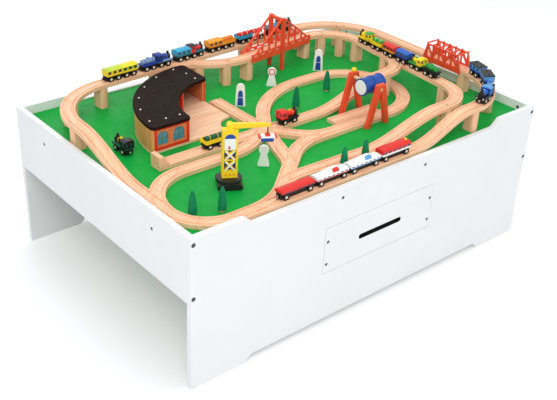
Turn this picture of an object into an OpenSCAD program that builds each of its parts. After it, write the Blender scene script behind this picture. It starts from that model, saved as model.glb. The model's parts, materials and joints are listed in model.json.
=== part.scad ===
// Toy train table: a low white table with a scooped rim, a storage drawer and a wooden railway on
// its green play board. Origin on the floor under the middle of the table, X along the table, -Y to
// the drawer side, Z up.

/* [Table] */
// Length over the ends of the long panels
table_length = 1220; // [1190:5:1300]
// Width over the faces of the long panels
table_width = 825; // [815:5:900]
// Height of the raised corners
table_height = 430; // [400:5:500]
// Thickness of the panels and aprons
panel_thickness = 16; // [14:1:18]
// Drop from the raised corners to the play board
board_drop = 26; // [24:1:40]
// Depth of the scoop in the rim of a long panel
scoop_depth = 22; // [10:1:23]
// Length of the raised rim at each corner
raised_end_length = 148; // [100:2:180]
// Length of the curve from the raised rim into the scoop
scoop_run = 37; // [20:1:60]
// Length of each foot of a long panel
foot_length = 158; // [120:2:200]
// Height of the arch between the feet
arch_height = 20; // [10:1:40]
// Length of the curve from a foot into the arch
arch_run = 30; // [15:1:60]
// Depth of the end aprons
apron_depth = 182; // [150:2:220]
// Thickness of the play board
board_thickness = 12; // [9:1:14]
// Height of the cleats under the play board
cleat_height = 26; // [20:1:40]
// Thickness of the cleats
cleat_thickness = 18; // [16:1:24]

/* [Drawer] */
// Width of the drawer front
drawer_width = 398; // [340:2:440]
// Height of the drawer front
drawer_height = 136; // [124:2:150]
// Height of the drawer front's lower edge above the floor
drawer_lift = 168; // [150:2:172]
// Gap round the drawer front
drawer_gap = 1; // [0.6:0.1:3]
// Depth of the drawer box behind its front
drawer_depth = 340; // [300:5:420]
// Height of the drawer sides
drawer_side_height = 110; // [96:2:116]
// Thickness of the drawer sides and back
drawer_wall = 12; // [10:1:14]
// Thickness of the drawer floor
drawer_floor = 5; // [4:0.5:8]
// Length of the hand slot
slot_length = 156; // [100:2:200]
// Height of the hand slot
slot_height = 14; // [12:1:24]

/* [Track] */
// Width of the wooden track
track_width = 40; // [38:0.5:42]
// Thickness of the wooden track
track_thickness = 12; // [10:0.5:14]
// Width of a wheel groove
groove_width = 6; // [5:0.25:7]
// Depth of a wheel groove
groove_depth = 3; // [2:0.25:4]
// Distance between the middles of the two grooves
rail_gauge = 25; // [24:0.5:27]
// Rise of the raised track above the ground track
deck_rise = 60; // [56:1:70]
// Radius of the large curves
large_radius = 190; // [184:1:196]
// Radius of the small curves
small_radius = 110; // [106:1:114]
// Diameter of a peg's head
peg_diameter = 11; // [9:0.5:12]
// Reach of a peg's middle past the end of its track
peg_reach = 11; // [10:0.5:13]
// Width of a peg's neck
peg_neck = 5.5; // [4:0.5:6]

/* [Buildings and bridges] */
// Length of the suspension bridge
bridge_length = 266; // [240:2:276]
// Height of the suspension bridge's tower
bridge_tower_height = 168; // [150:2:190]
// Height of the truss bridge above its track
truss_height = 55; // [54:1:70]
// Outer radius of the engine shed
shed_outer_radius = 296; // [260:1:320]
// Depth of the engine shed between its arcs
shed_depth = 114; // [104:1:130]
// Height of the engine shed's walls
shed_wall_height = 62; // [54:1:64]
// Height of the crane's tower
crane_height = 136; // [120:2:160]
// Length of the crane's arm
crane_reach = 96; // [80:2:110]
// Height of the loading gantry
gantry_height = 124; // [112:1:140]
// Diameter of the gantry's drum
drum_diameter = 50; // [40:1:54]
// Length of the gantry's drum
drum_length = 78; // [60:2:90]

/* [Trains] */
// Width of a car's body
car_width = 30; // [28:0.5:32]
// Height of a car's body above its chassis
car_height = 20; // [14:0.5:21]
// Diameter of a wheel
wheel_diameter = 18; // [16:0.5:19]
// Thickness of a wheel
wheel_thickness = 4; // [3:0.25:4.5]
// Diameter of an axle
axle_diameter = 4; // [3:0.25:5]

/* [Hidden] */
$fn = 48;
overrun = 1;
seat_gap = 0.3;
fit_gap = 0.1;
wood_gap = 0.5;
joint_gap = 0.4;
groove_lead_angle = 0.5;

white_paint = "#f2f2f0";
board_green = "#14b050";
beech = "#f3cda8";
warm_wood = "#e0a060";
bridge_red = "#e94b28";
shed_brown = "#33241f";
shed_red = "#d83c30";
window_blue = "#3f86a8";
crane_yellow = "#f6d81e";
black_paint = "#26241f";
drum_blue = "#2858a8";
tree_green = "#14784f";
steel_dark = "#4a4a4c";
dowel_tan = "#d8b88c";

// Table levels and inner sizes
half_length = table_length / 2;
half_width = table_width / 2;
inner_half_length = half_length - panel_thickness;
inner_half_width = half_width - panel_thickness;
board_top = table_height - board_drop;
board_bottom = board_top - board_thickness;
cleat_middle = board_bottom - cleat_height / 2;
apron_bottom = table_height - apron_depth;
ogee_steps = 12;

// Fasteners of the table
bolt_head = 12;
bolt_head_height = 3;
bolt_shank = 6;
bolt_length = 58;
bolt_inset = 18;
barrel_diameter = 10;
barrel_length = 14;
barrel_setback = 30;
screw_head = 9;
screw_head_height = 2.5;
screw_shank = 4.5;
screw_reach = 12;
cleat_screw_spread = 150;
apron_screw_spread = 258;
bolt_heights = [table_height - bolt_inset, apron_bottom + bolt_inset];

// Drawer box and its runners
drawer_edge = 4;
drawer_foot = 6;
floor_lift = 10;
floor_groove = 5;
drawer_half = drawer_width / 2 - drawer_edge;
side_bottom = drawer_lift + drawer_foot;
side_front = -inner_half_width;
side_rear = side_front + drawer_depth;
drawer_screw_inset = 21;
slot_middle = drawer_lift + drawer_height / 2;
runner_ledge = 26;
runner_height = 24;
runner_guide = 12;
runner_guide_height = 34;
runner_side_gap = 1;
dowel_diameter = 8;
dowel_in_panel = 10;
dowel_in_runner = 14;
drawer_screw_heights = [
    side_bottom + drawer_screw_inset,
    side_bottom + drawer_side_height - drawer_screw_inset
];

// Railway: levels above the board, outer lines and the space it takes
ground_z = 0;
deck_z = deck_rise;
rim_gap = 4;
right_offset = 10;
rear_left_offset = 40;
rear_right_offset = 1.5;
left_x = -570;
right_x = -left_x - right_offset;
front_y = -372.5;
rear_left_y = -front_y - rear_left_offset;
rear_right_y = -front_y + rear_right_offset;
layout_half_length = track_width / 2 + rim_gap - left_x;
layout_half_width = track_width / 2 + rim_gap - front_y;
layout_scale = min(inner_half_length / layout_half_length, inner_half_width / layout_half_width);
oval_top = 138;
oval_bottom = -172;
oval_x = 249;
oval_radius = (oval_top - oval_bottom) / 2;

// A pose is x, y, z and heading. A straight is a length and a rise, a curve a radius and a turn.
function straight(length, rise = 0) = ["straight", length, rise];
function curve(radius, turn) = ["curve", radius, turn];
function heading(angle) = [cos(angle), sin(angle)];
function side_of(turn) = turn > 0 ? 1 : -1;
function bend(radius, from, to) =
    side_of(to - from) * radius * [sin(to) - sin(from), cos(from) - cos(to)];
function moved(pose, step, rise, turn) =
    [pose.x + step.x, pose.y + step.y, pose.z + rise, pose[3] + turn];
function after(pose, piece) = piece[0] == "straight"
    ? moved(pose, piece[1] * heading(pose[3]), piece[2], 0)
    : moved(pose, bend(piece[1], pose[3], pose[3] + piece[2]), 0, piece[2]);
function after_all(pose, pieces, i = 0) =
    i == len(pieces) ? pose : after_all(after(pose, pieces[i]), pieces, i + 1);
function first_of(pieces, count) = [for (i = [0:1:count - 1]) pieces[i]];
function joints_of(pose, pieces) =
    [for (i = [0:len(pieces)]) after_all(pose, first_of(pieces, i))];
// A piece cut short at its far end by the gap to the next one
function shortened(piece) = piece[0] == "straight"
    ? straight(piece[1] - joint_gap, piece[2])
    : curve(piece[1], piece[2] - side_of(piece[2]) * joint_gap * 180 / PI / (piece[1] - track_width / 2));
function with_gap(pieces) =
    concat(first_of(pieces, len(pieces) - 1), [shortened(pieces[len(pieces) - 1])]);
function repeat(piece, count) = [for (i = [1:count]) piece];
function turned(pose) = [pose.x, pose.y, pose.z, pose[3] + 180];
function raised(poses) = [for (pose = poses) if (pose.z > deck_z - overrun) pose];
// Lengths along two headings that together with a bend make a given step
function two_lengths(a, b, step, bend) =
    let (u = heading(a), v = heading(b), rest = [step.x - bend.x, step.y - bend.y], area = cross(u, v))
    [cross(rest, v) / area, cross(u, rest) / area];

// Outer line: skewed rear straight between two curve centres
rear_left_centre = [left_x + large_radius, rear_left_y - large_radius];
rear_right_centre = [right_x - large_radius, rear_right_y - large_radius];
rear_step = rear_right_centre - rear_left_centre;
rear_skew = atan2(rear_step.y, rear_step.x);
rear_length = norm(rear_step);
rear_left_end = rear_left_centre + large_radius * heading(rear_skew + 90);
switch_length = 130;
rear_switch_offset = 188;
rear_switch = concat(rear_left_end + rear_switch_offset * heading(rear_skew), [deck_z, rear_skew]);
corner_switch = [left_x, front_y + small_radius, ground_z, 90];
corner_switch_length = 120;
front_switch_x = -400;
front_ramp_x = 130;
front_switch = [front_switch_x, front_y, ground_z, 0];
branch_turn = 40;
truss_length = 150;
right_length = rear_right_centre.y - front_y - large_radius;
front_length = front_ramp_x - front_switch_x - switch_length;
rear_run = rear_length - rear_switch_offset - switch_length;
outer_front = concat(
    repeat(straight(front_length / 2), 2),
    [straight(right_x - large_radius - front_ramp_x, deck_rise)],
    repeat(curve(large_radius, 45), 2),
    [straight(truss_length), straight(right_length - truss_length)],
    repeat(curve(large_radius, 45 + rear_skew / 2), 2),
    repeat(straight(rear_run / 2), 2)
);
outer_front_start = after(front_switch, straight(switch_length));
left_ramp_length = rear_left_centre.y - corner_switch.y - corner_switch_length;
outer_left = concat(
    [straight(rear_switch_offset)],
    repeat(curve(large_radius, 45 - rear_skew / 2), 2),
    [straight(left_ramp_length, -deck_rise)]
);
corner_run = concat(
    repeat(curve(small_radius, 45), 2),
    [straight(front_switch_x - left_x - small_radius)]
);

// Junction where seven lines meet, each arm a heading out of its middle
junction_x = -115;
junction_y = -62;
arm_length = 85;
siding_angle = 180;
corner_angle = 207;
yard_angle = 250;
link_angle = 310;
ramp_angle = 0;
oval_angle = 55;
shed_angle = 90;
arms = [siding_angle, corner_angle, yard_angle, link_angle, ramp_angle, oval_angle, shed_angle];
out_arms = [siding_angle, corner_angle, oval_angle, shed_angle];
in_arms = [yard_angle, link_angle, ramp_angle];
function arm_start(angle) = [junction_x, junction_y, ground_z, angle];
function arm_end(angle) = after(arm_start(angle), straight(arm_length));

// Siding, shed line and the line back to the corner switch
siding_length = 270;
siding_run = repeat(straight(siding_length / 2), 2);
shed_line_length = 146;
corner_bend = curve(large_radius, siding_angle - corner_angle);
corner_line_y = after(arm_end(corner_angle), corner_bend).y;
corner_branch = curve(corner_line_y - corner_switch.y, -90);
corner_line_length = after(arm_end(corner_angle), corner_bend).x - after(corner_switch, corner_branch).x;
corner_line = [corner_bend, straight(corner_line_length)];

// Ground oval from the junction round to the oval switch
oval_lead_radius = (oval_top - arm_end(oval_angle).y) / (1 - cos(oval_angle));
oval_lead = curve(oval_lead_radius, -oval_angle);
link_turn = 360 - link_angle;
link_radius = (arm_end(link_angle).y - oval_bottom) / (1 - cos(link_turn));
oval_switch = [arm_end(link_angle).x + link_radius * sin(link_turn), oval_bottom, ground_z, 180];
oval_run = concat(
    [oval_lead, straight(oval_x - after(arm_end(oval_angle), oval_lead).x)],
    repeat(curve(oval_radius, -45), 4),
    repeat(straight((oval_x - oval_switch.x) / 2), 2)
);

// Two yard switches, the first to the inner ramp and the second to the junction
yard_switch = after(front_switch, curve(large_radius, branch_turn));
yard_rise = oval_bottom - yard_switch.y - large_radius * (1 - cos(branch_turn));
yard_length = yard_rise / sin(branch_turn);
yard_curve_end = after_all(yard_switch, [straight(yard_length), curve(large_radius, -branch_turn)]);
yard_radius = 95;
yard_end_angle = yard_angle - 180;
yard_step = arm_end(yard_angle) - yard_switch;
yard_bend = bend(yard_radius, branch_turn, yard_end_angle);
yard_lengths = two_lengths(branch_turn, yard_end_angle, yard_step, yard_bend);
yard_trunk = straight(yard_lengths[0]);
yard_fork = after(yard_switch, yard_trunk);
yard_link = [curve(yard_radius, yard_end_angle - branch_turn), straight(yard_lengths[1])];
yard_oval = [straight(yard_length - yard_lengths[0]), curve(large_radius, -branch_turn / 2)];
yard_oval_end = after_all(yard_fork, yard_oval);
yard_lead = 30;
inner_angle = -2;
yard_branch = [curve(small_radius, inner_angle - branch_turn), straight(yard_lead)];
oval_switch_main = [straight(oval_switch.x - yard_curve_end.x), curve(large_radius, branch_turn / 2)];

// Inner raised line: over the suspension bridge and down the right side
rear_turn = 42;
rear_branch = curve(large_radius, -rear_turn);
bridge_angle = 8;
side_angle = -94.6;
bridge_lead = repeat(curve(large_radius, (bridge_angle - rear_skew + rear_turn) / 2), 2);
bridge_start = after_all(rear_switch, concat([rear_branch], bridge_lead));
side_turn = (side_angle - bridge_angle) / 3;
side_run = concat([straight(bridge_length)], repeat(curve(small_radius, side_turn), 3));
side_start = after_all(bridge_start, side_run);
deck_turn = -180 - side_angle;
deck_branch = curve(small_radius, deck_turn);
deck_switch_y = junction_y - bend(small_radius, side_angle, -180).y;
side_lead = (deck_switch_y - side_start.y) / sin(side_angle);
deck_switch = after(side_start, straight(side_lead));
deck_switch_length = 120;
deck_switch_end = after(deck_switch, straight(deck_switch_length));
inner_run = concat(bridge_lead, side_run, [straight(side_lead)]);

// Centre ramp from the deck switch to the junction
centre_ramp_length = 280;
deck_branch_end = after(deck_switch, deck_branch);
centre_flat = deck_branch_end.x - arm_end(ramp_angle).x - centre_ramp_length;
centre_run = [straight(centre_ramp_length, -deck_rise), straight(centre_flat)];

// Inner ramp from the yard switch to the deck switch
inner_flat = 180;
inner_start = after_all(yard_switch, yard_branch);
inner_ramp_start = after(inner_start, straight(inner_flat));
up_angle = side_angle + 180;
inner_step = deck_switch_end - inner_ramp_start;
inner_bend = bend(small_radius, inner_angle, up_angle);
inner_lengths = two_lengths(inner_angle, up_angle, inner_step, inner_bend);
inner_ramp = concat(
    [straight(inner_flat), straight(inner_lengths[0], deck_rise)],
    repeat(curve(small_radius, (up_angle - inner_angle) / 2), 2),
    [straight(inner_lengths[1])]
);

// Loading track under the gantry
loading_x = 70;
loading_length = 164;
loading_gap = 4;
loading_y = oval_bottom + track_width + loading_gap;

// Piers under the raised track
pier_width = 40;
pier_depth = 26;
ramp_landing = pier_depth / 2 + overrun;
pier_height = deck_rise;
outer_pier_joints = raised(joints_of(outer_front_start, outer_front));
left_pier_joints = raised(joints_of(turned(rear_switch), outer_left));
inner_pier_joints = raised(joints_of(after(rear_switch, rear_branch), inner_run));
ramp_pier_joints = raised(first_of(joints_of(inner_start, inner_ramp), len(inner_ramp)));
pier_poses = concat(
    outer_pier_joints, left_pier_joints, inner_pier_joints, ramp_pier_joints, [deck_branch_end]
);

// Buffer at the end of the siding
buffer_end = after_all(arm_end(siding_angle), siding_run);
buffer_length = 30;
buffer_height = 26;
buffer_slope = 14;

// Suspension bridge
girder_thickness = 6;
girder_height = 26;
girder_drop = 4;
girder_gap = 0.5;
girder_openings = 4;
girder_rail = 5;
girder_half = track_width / 2 + girder_gap + girder_thickness / 2;
post_size = 11;
girder_length = (bridge_length - post_size) / 2;
post_half = track_width / 2 + girder_gap + post_size / 2;
crossbar_height = 8;
crossbar_shares = [0.72, 0.96];
cable_spread = 8;
cable_foot_inset = 14;
hanger_width = 3;
hanger_shares = [0.25, 0.5, 0.75];
bridge_middle = after(bridge_start, straight(bridge_length / 2));

// Truss bridge
truss_start = after_all(outer_front_start, first_of(outer_front, 5));
truss_panel = 6;
truss_bays = 5;
truss_bar = 4;
truss_half = track_width / 2 + girder_gap + truss_panel / 2;
truss_taper = 14;
truss_bay = (truss_length - 2 * truss_taper) / truss_bays;

// Engine shed
shed_x = -140;
shed_gap_share = 0.61;
shed_front_y = junction_y + track_width / 2;
shed_rear_y = rear_left_end.y + (shed_x - rear_left_end.x) * tan(rear_skew) - track_width / 2;
shed_y = shed_front_y + shed_gap_share * (shed_rear_y - shed_front_y - shed_outer_radius);
shed_floor = 8;
shed_wall = 8;
shed_floor_inner = 62;
roof_thickness = 9;
roof_eave = 6;
roof_corner = 14;
post_width = 10;
stall_count = 3;
window_width = 34;
window_height = 38;
window_sill = 14;
window_depth = 4;
window_shares = [0.28, 0.72];
shed_roof_z = shed_floor + shed_wall_height;
shed_inner_radius = shed_outer_radius - shed_depth;
wall_end = shed_outer_radius - shed_wall - wood_gap;

// Crane
crane_x = -368;
crane_y = -232;
crane_angle = -30;
crawler_length = 62;
crawler_width = 20;
crawler_height = 16;
crawler_spread = 44;
crane_deck = 8;
crane_pin = 12;
crane_pin_height = 16;
tower_width = 38;
tower_depth = 22;
tower_wall = 5;
lattice_share = 0.42;
cab_share = 0.6;
cab_height = 22;
arm_width = 10;
arm_depth = 14;
arm_tip_depth = 8;
arm_pin = 5;
arm_boss = 16;
cheek_thickness = 5;
rope_diameter = 3;
rope_drop = 30;
tip_pin = 3;
tip_slot = 12;
eye_inset = 5;
eye_diameter = 8;
eye_thickness = 4;
load_length = 30;
load_width = 20;
load_height = 16;
crane_base_top = crawler_height + crane_deck;
tower_bottom = crane_base_top + seat_gap;
arm_pivot_z = tower_bottom + crane_height;

// Loading gantry
gantry_x = 172;
gantry_gap = 11;
gantry_front_y = oval_bottom - track_width / 2 - gantry_gap;
gantry_rear_y = loading_y + track_width / 2 + gantry_gap;
gantry_foot_spread = 72;
gantry_top_width = 30;
gantry_leg = 16;
gantry_thickness = 12;
gantry_cap = 24;
gantry_notch = 2;
shaft_diameter = 10;
shaft_drop = 14;
drum_end = 3;
drum_end_inset = 3;
drum_hoop = 1.5;
drum_hoop_width = 4;
drum_y_share = 0.36;
shaft_z = gantry_height - shaft_drop;
shaft_length = gantry_rear_y - gantry_front_y + gantry_thickness;
drum_end_diameter = drum_diameter - 2 * drum_hoop - 2 * drum_end_inset;
drum_y = gantry_front_y + drum_y_share * (gantry_rear_y - gantry_front_y);

// Trees, figures and signs on the board
tree_height = 66;
tree_radius = 10.5;
tree_trunk = 4;
tree_trunk_height = 6;
tree_waist = 8.5;
tree_tip = 3;
tree_shares = [
    [-0.882, -0.752], [-0.768, -0.812], [-0.141, -0.856], [-0.017, -0.8595], [0.101, 0.035], [0.36, 0.131]
];
figure_thickness = 7;
figure_width = 24;
figure_height = 70;
figure_foot = 30;
figure_foot_height = 6;
figure_shares = [[-0.111, 0.282], [0.502, 0.464]];
sign_head = 26;
sign_height = 60;
sign_neck = 10;
sign_shares = [[0.168, 0.434], [-0.401, -0.52]];
figure_angle = -40;

// Cars and wheels
rail_top = track_thickness;
axle_z = rail_top - groove_depth + seat_gap + wheel_diameter / 2;
wheel_gap = 1;
body_z = axle_z + wheel_diameter / 2 + wheel_gap;
chassis_z = axle_z - wheel_diameter / 4;
chassis_width = rail_gauge - wheel_thickness - 2 * wheel_gap;
coupler_reach = 4;
coupler_diameter = 8;
coupler_play = 2;
wheel_inset = 14;
car_length = 62;
rear_car_length = 104;
rear_reach = 9;
axle_spacing = 24;
inner_car_length = 52;
corner_car_length = 52;
front_car_length = 104;
front_car_shares = [0.5, 0.5, 0.5, 0.9];
cab_length_share = 0.34;
boiler_share = 0.72;
funnel_diameter = 7;
funnel_height = 8;
roof_rise = 4;
roof_radius = (pow(car_width / 2, 2) + pow(roof_rise, 2)) / (2 * roof_rise);
load_share = 0.86;
rear_car_count = 6;
inner_car_count = 6;
corner_car_count = 4;
front_car_count = 4;
rear_train_lead = 6;
inner_train_lead = 10;
front_train_x = -328;
red_engine_x = -38;
wagon_x = -292;
black_engine_share = 0.56;
black_engine_y = 62;
rear_train_start = concat(
    rear_left_end + (rear_train_lead + rear_car_length / 2 + rear_reach) * heading(rear_skew),
    [deck_z, rear_skew]
);
inner_train_start = after(side_start, straight(inner_train_lead + inner_car_length / 2 + coupler_reach));
red_engine_pose = [red_engine_x, junction_y, ground_z, 0];
wagon_pose = [wagon_x, junction_y, ground_z, 0];
// The black engine stands on the board, between the left line and the shed
left_edge = left_x + track_width / 2;
black_engine_x = left_edge + black_engine_share * (shed_x - shed_outer_radius - left_edge);
black_engine_pose = [black_engine_x, black_engine_y, groove_depth - rail_top, 90];
front_train_start = [front_train_x + front_car_length / 2, front_y, ground_z, 0];
corner_centre = [right_x - large_radius, front_y + large_radius];
corner_pitch = 2 * asin((corner_car_length / 2 + coupler_reach + coupler_play) / large_radius);
// Cars on a curve stand a little inside it, with their axles on it
corner_radius = sqrt(pow(large_radius, 2) - pow(corner_car_length / 2 - wheel_inset, 2));
function on_corner(i) = let (angle = (i - (corner_car_count - 1) / 2) * corner_pitch - 45)
    concat(corner_centre + corner_radius * heading(angle), [deck_z, angle + 90]);

// Shared shapes

function ogee(from, to) = [for (i = [0:ogee_steps])
    [from.x + (to.x - from.x) * i / ogee_steps,
     from.y + (to.y - from.y) * (1 - cos(180 * i / ogee_steps)) / 2]];

function span(size) = [-size / 2, size / 2];

module block(x_span, y_span, z_span)
    translate([x_span[0], y_span[0], z_span[0]])
        cube([x_span[1] - x_span[0], y_span[1] - y_span[0], z_span[1] - z_span[0]]);

module at(pose)
    translate([pose.x, pose.y, pose.z])
        rotate([0, 0, pose[3]])
            children();

// What stands on the board follows the size of the space inside the rim
module on_board()
    translate([0, 0, board_top])
        scale(layout_scale)
            children();

module upright(thickness)
    rotate([90, 0, 0])
        linear_extrude(thickness, center = true)
            children();

module ring_sector(inner, outer, from, to, height)
    rotate([0, 0, from])
        rotate_extrude(angle = to - from, $fn = 128)
            translate([inner, 0])
                square([outer - inner, height]);

// Fasteners, with the head at the origin and the shank along +Z

function past(gap) = gap > 0 ? overrun : 0;

module headed(head, head_height, shank, length, gap = 0) {
    translate([0, 0, -past(gap)])
        cylinder(d = head + 2 * gap, h = head_height + past(gap));
    cylinder(d = shank + 2 * gap, h = length + 2 * past(gap));
}

module bolt(gap = 0)
    headed(bolt_head, bolt_head_height, bolt_shank, bolt_length, gap);

module screw(gap = 0)
    headed(screw_head, screw_head_height, screw_shank, panel_thickness + screw_reach, gap);

module through_long_panel(side, x, z)
    translate([x, side * half_width, z])
        rotate([side * 90, 0, 0])
            children();

module through_apron(side, y, z)
    translate([side * half_length, y, z])
        rotate([0, -side * 90, 0])
            children();

module all_bolts(gap = 0)
    for (side = [-1, 1], end = [-1, 1], z = bolt_heights)
        through_long_panel(side, end * (half_length - panel_thickness / 2), z)
            bolt(gap);

module all_barrels(gap = 0)
    for (side = [-1, 1], end = [-1, 1], z = bolt_heights)
        translate([end * inner_half_length, side * (inner_half_width - barrel_setback), z])
            rotate([0, end * 90, 0])
                translate([0, 0, -past(gap)])
                    cylinder(d = barrel_diameter + 2 * gap, h = barrel_length + past(gap));

module all_panel_screws(gap = 0) {
    for (side = [-1, 1], end = [-1, 1])
        through_long_panel(side, end * cleat_screw_spread, cleat_middle)
            screw(gap);
    for (side = [-1, 1], end = [-1, 1])
        through_apron(side, end * apron_screw_spread, cleat_middle)
            screw(gap);
}

module all_dowels(gap = 0)
    for (side = [-1, 1], end = [-1, 1])
        translate([side * (drawer_half + runner_guide - runner_ledge / 2), end * inner_half_width,
                side_bottom - wood_gap - runner_height + dowel_diameter])
            rotate([-end * 90, 0, 0])
                translate([0, 0, -dowel_in_runner - gap])
                    cylinder(d = dowel_diameter + 2 * gap, h = dowel_in_runner + dowel_in_panel + 2 * gap);

module all_drawer_screws(gap = 0)
    for (end = [-1, 1], z = drawer_screw_heights)
        through_long_panel(-1, end * (drawer_half - drawer_wall / 2), z)
            screw(gap);

// Table

module long_panel_outline() {
    foot_x = half_length - foot_length;
    arch_x = foot_x - arch_run;
    raised_x = half_length - raised_end_length;
    scoop_x = raised_x - scoop_run;
    rim = table_height - scoop_depth;
    polygon(concat(
        [[-half_length, 0]],
        ogee([-foot_x, 0], [-arch_x, arch_height]),
        ogee([arch_x, arch_height], [foot_x, 0]),
        [[half_length, 0], [half_length, table_height]],
        ogee([raised_x, table_height], [scoop_x, rim]),
        ogee([-scoop_x, rim], [-raised_x, table_height]),
        [[-half_length, table_height]]
    ));
}

module long_panel(side)
    difference() {
        translate([0, side * (half_width - panel_thickness / 2), 0])
            upright(panel_thickness)
                long_panel_outline();
        all_bolts(fit_gap);
        all_panel_screws(fit_gap);
        all_dowels(fit_gap);
    }

module front_panel()
    color(white_paint)
        difference() {
            long_panel(-1);
            block(
                span(drawer_width + 2 * drawer_gap),
                [-half_width - overrun, -inner_half_width + overrun],
                [drawer_lift - drawer_gap, drawer_lift + drawer_height + drawer_gap]
            );
        }

module rear_panel()
    color(white_paint)
        long_panel(1);

module apron(side)
    color(white_paint)
        difference() {
            scale([side, 1, 1])
                block([inner_half_length, half_length], span(2 * inner_half_width),
                    [apron_bottom, table_height]);
            all_bolts(fit_gap);
            all_barrels(fit_gap);
            all_panel_screws(fit_gap);
        }

module left_apron() apron(-1);

module right_apron() apron(1);

module play_board()
    color(board_green)
        block(
            span(2 * (inner_half_length - wood_gap)),
            span(2 * (inner_half_width - wood_gap)),
            [board_bottom, board_top]
        );

module cleats(x_span, y_span, mirrored)
    color(dowel_tan)
        difference() {
            for (side = [-1, 1])
                scale(side > 0 ? [1, 1, 1] : mirrored)
                    block(x_span, y_span, [board_bottom - cleat_height, board_bottom]);
            all_panel_screws(fit_gap);
        }

module long_cleats()
    cleats(span(2 * inner_half_length), [inner_half_width - cleat_thickness, inner_half_width], [1, -1, 1]);

module end_cleats()
    cleats(
        [inner_half_length - cleat_thickness, inner_half_length],
        span(2 * (inner_half_width - cleat_thickness)),
        [-1, 1, 1]
    );

module drawer_runners() {
    ledge_top = side_bottom - wood_gap;
    guide_x = drawer_half + runner_side_gap;
    outer_x = guide_x + runner_guide;
    color(dowel_tan)
        difference() {
            for (side = [-1, 1])
                scale([side, 1, 1])
                    translate([0, 0, ledge_top])
                        upright(2 * inner_half_width)
                            polygon([
                                [outer_x - runner_ledge, -runner_height], [outer_x, -runner_height],
                                [outer_x, runner_guide_height], [guide_x, runner_guide_height],
                                [guide_x, 0], [outer_x - runner_ledge, 0]
                            ]);
            all_dowels(fit_gap);
        }
}

module runner_dowels()
    color(dowel_tan)
        all_dowels();

module corner_bolts()
    color(steel_dark)
        all_bolts();

module barrel_nuts()
    color(steel_dark)
        difference() {
            all_barrels();
            all_bolts(fit_gap);
        }

module panel_screws()
    color(steel_dark)
        all_panel_screws();

// Drawer

module drawer_floor_space(gap = 0)
    block(
        [-drawer_half + drawer_wall - floor_groove - gap, drawer_half - drawer_wall + floor_groove + gap],
        [side_front - floor_groove - gap, side_rear - drawer_wall + floor_groove + gap],
        [side_bottom + floor_lift - gap, side_bottom + floor_lift + drawer_floor + gap]
    );

module hand_slot()
    translate([0, -half_width + panel_thickness / 2, slot_middle])
        upright(panel_thickness + 2 * overrun) {
            square([slot_length - slot_height, slot_height], center = true);
            for (end = [-1, 1])
                translate([end * (slot_length - slot_height) / 2, 0])
                    circle(d = slot_height);
        }

module drawer_front()
    color(white_paint)
        difference() {
            block(
                span(drawer_width),
                [-half_width, side_front],
                [drawer_lift, drawer_lift + drawer_height]
            );
            hand_slot();
            all_drawer_screws(fit_gap);
            drawer_floor_space(fit_gap);
        }

module drawer_side(side)
    color(dowel_tan)
        difference() {
            scale([side, 1, 1])
                block([drawer_half - drawer_wall, drawer_half], [side_front, side_rear],
                    [side_bottom, side_bottom + drawer_side_height]);
            all_drawer_screws(fit_gap);
            drawer_floor_space(fit_gap);
        }

module drawer_left_side() drawer_side(-1);

module drawer_right_side() drawer_side(1);

module drawer_back()
    color(dowel_tan)
        difference() {
            block(
                span(2 * (drawer_half - drawer_wall)),
                [side_rear - drawer_wall, side_rear],
                [side_bottom, side_bottom + drawer_side_height]
            );
            drawer_floor_space(fit_gap);
        }

module drawer_floor_panel()
    color(dowel_tan)
        drawer_floor_space();

module drawer_screws()
    color(steel_dark)
        all_drawer_screws();

// Track pieces, laid from the origin along +X

function ramp_level(rise, share) = rise * (1 - cos(180 * share)) / 2;

function rail_line(length, rise, level) = rise == 0
    ? [[0, level], [length, level]]
    : concat(
        [[0, level]],
        [for (i = [0:ogee_steps])
            [ramp_landing + (length - 2 * ramp_landing) * i / ogee_steps,
             level + ramp_level(rise, i / ogee_steps)]],
        [[length, level + rise]]
    );

function reversed(points) = [for (i = [len(points) - 1:-1:0]) points[i]];

module straight_body(length, rise)
    upright(track_width)
        polygon(concat(rail_line(length, rise, 0), reversed(rail_line(length, rise, track_thickness))));

module straight_groove(length, rise)
    upright(groove_width)
        polygon(concat(
            [[-overrun, track_thickness - groove_depth]],
            rail_line(length, rise, track_thickness - groove_depth),
            [[length + overrun, rise + track_thickness - groove_depth]],
            [[length + overrun, rise + track_thickness + overrun]],
            reversed(rail_line(length, rise, track_thickness + overrun)),
            [[-overrun, track_thickness + overrun]]
        ));

module swept(radius, turn, lead = 0)
    translate([0, side_of(turn) * radius, 0])
        rotate([0, 0, turn > 0 ? -90 - lead : 90 + turn - lead])
            rotate_extrude(angle = abs(turn) + 2 * lead, $fn = 96)
                translate([radius, 0])
                    children();

module piece_body(piece)
    if (piece[0] == "straight")
        straight_body(piece[1], piece[2]);
    else
        swept(piece[1], piece[2])
            translate([-track_width / 2, 0])
                square([track_width, track_thickness]);

module piece_grooves(piece)
    for (side = [-1, 1])
        if (piece[0] == "straight")
            translate([0, side * rail_gauge / 2, 0])
                straight_groove(piece[1], piece[2]);
        else
            swept(piece[1], piece[2], groove_lead_angle)
                translate([side * rail_gauge / 2 - groove_width / 2, track_thickness - groove_depth])
                    square([groove_width, groove_depth + overrun]);

module lay(pose, pieces, grooves = false)
    for (i = [0:len(pieces) - 1])
        at(after_all(pose, first_of(pieces, i)))
            if (grooves)
                piece_grooves(pieces[i]);
            else
                piece_body(pieces[i]);

module key_outline(gap = 0) {
    translate([-overrun, -peg_neck / 2 - gap])
        square([peg_reach + overrun, peg_neck + 2 * gap]);
    translate([peg_reach, 0])
        circle(d = peg_diameter + 2 * gap);
}

module peg()
    linear_extrude(track_thickness)
        key_outline();

module socket()
    translate([0, 0, -overrun])
        linear_extrude(track_thickness + 2 * overrun)
            key_outline(wood_gap);

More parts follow.
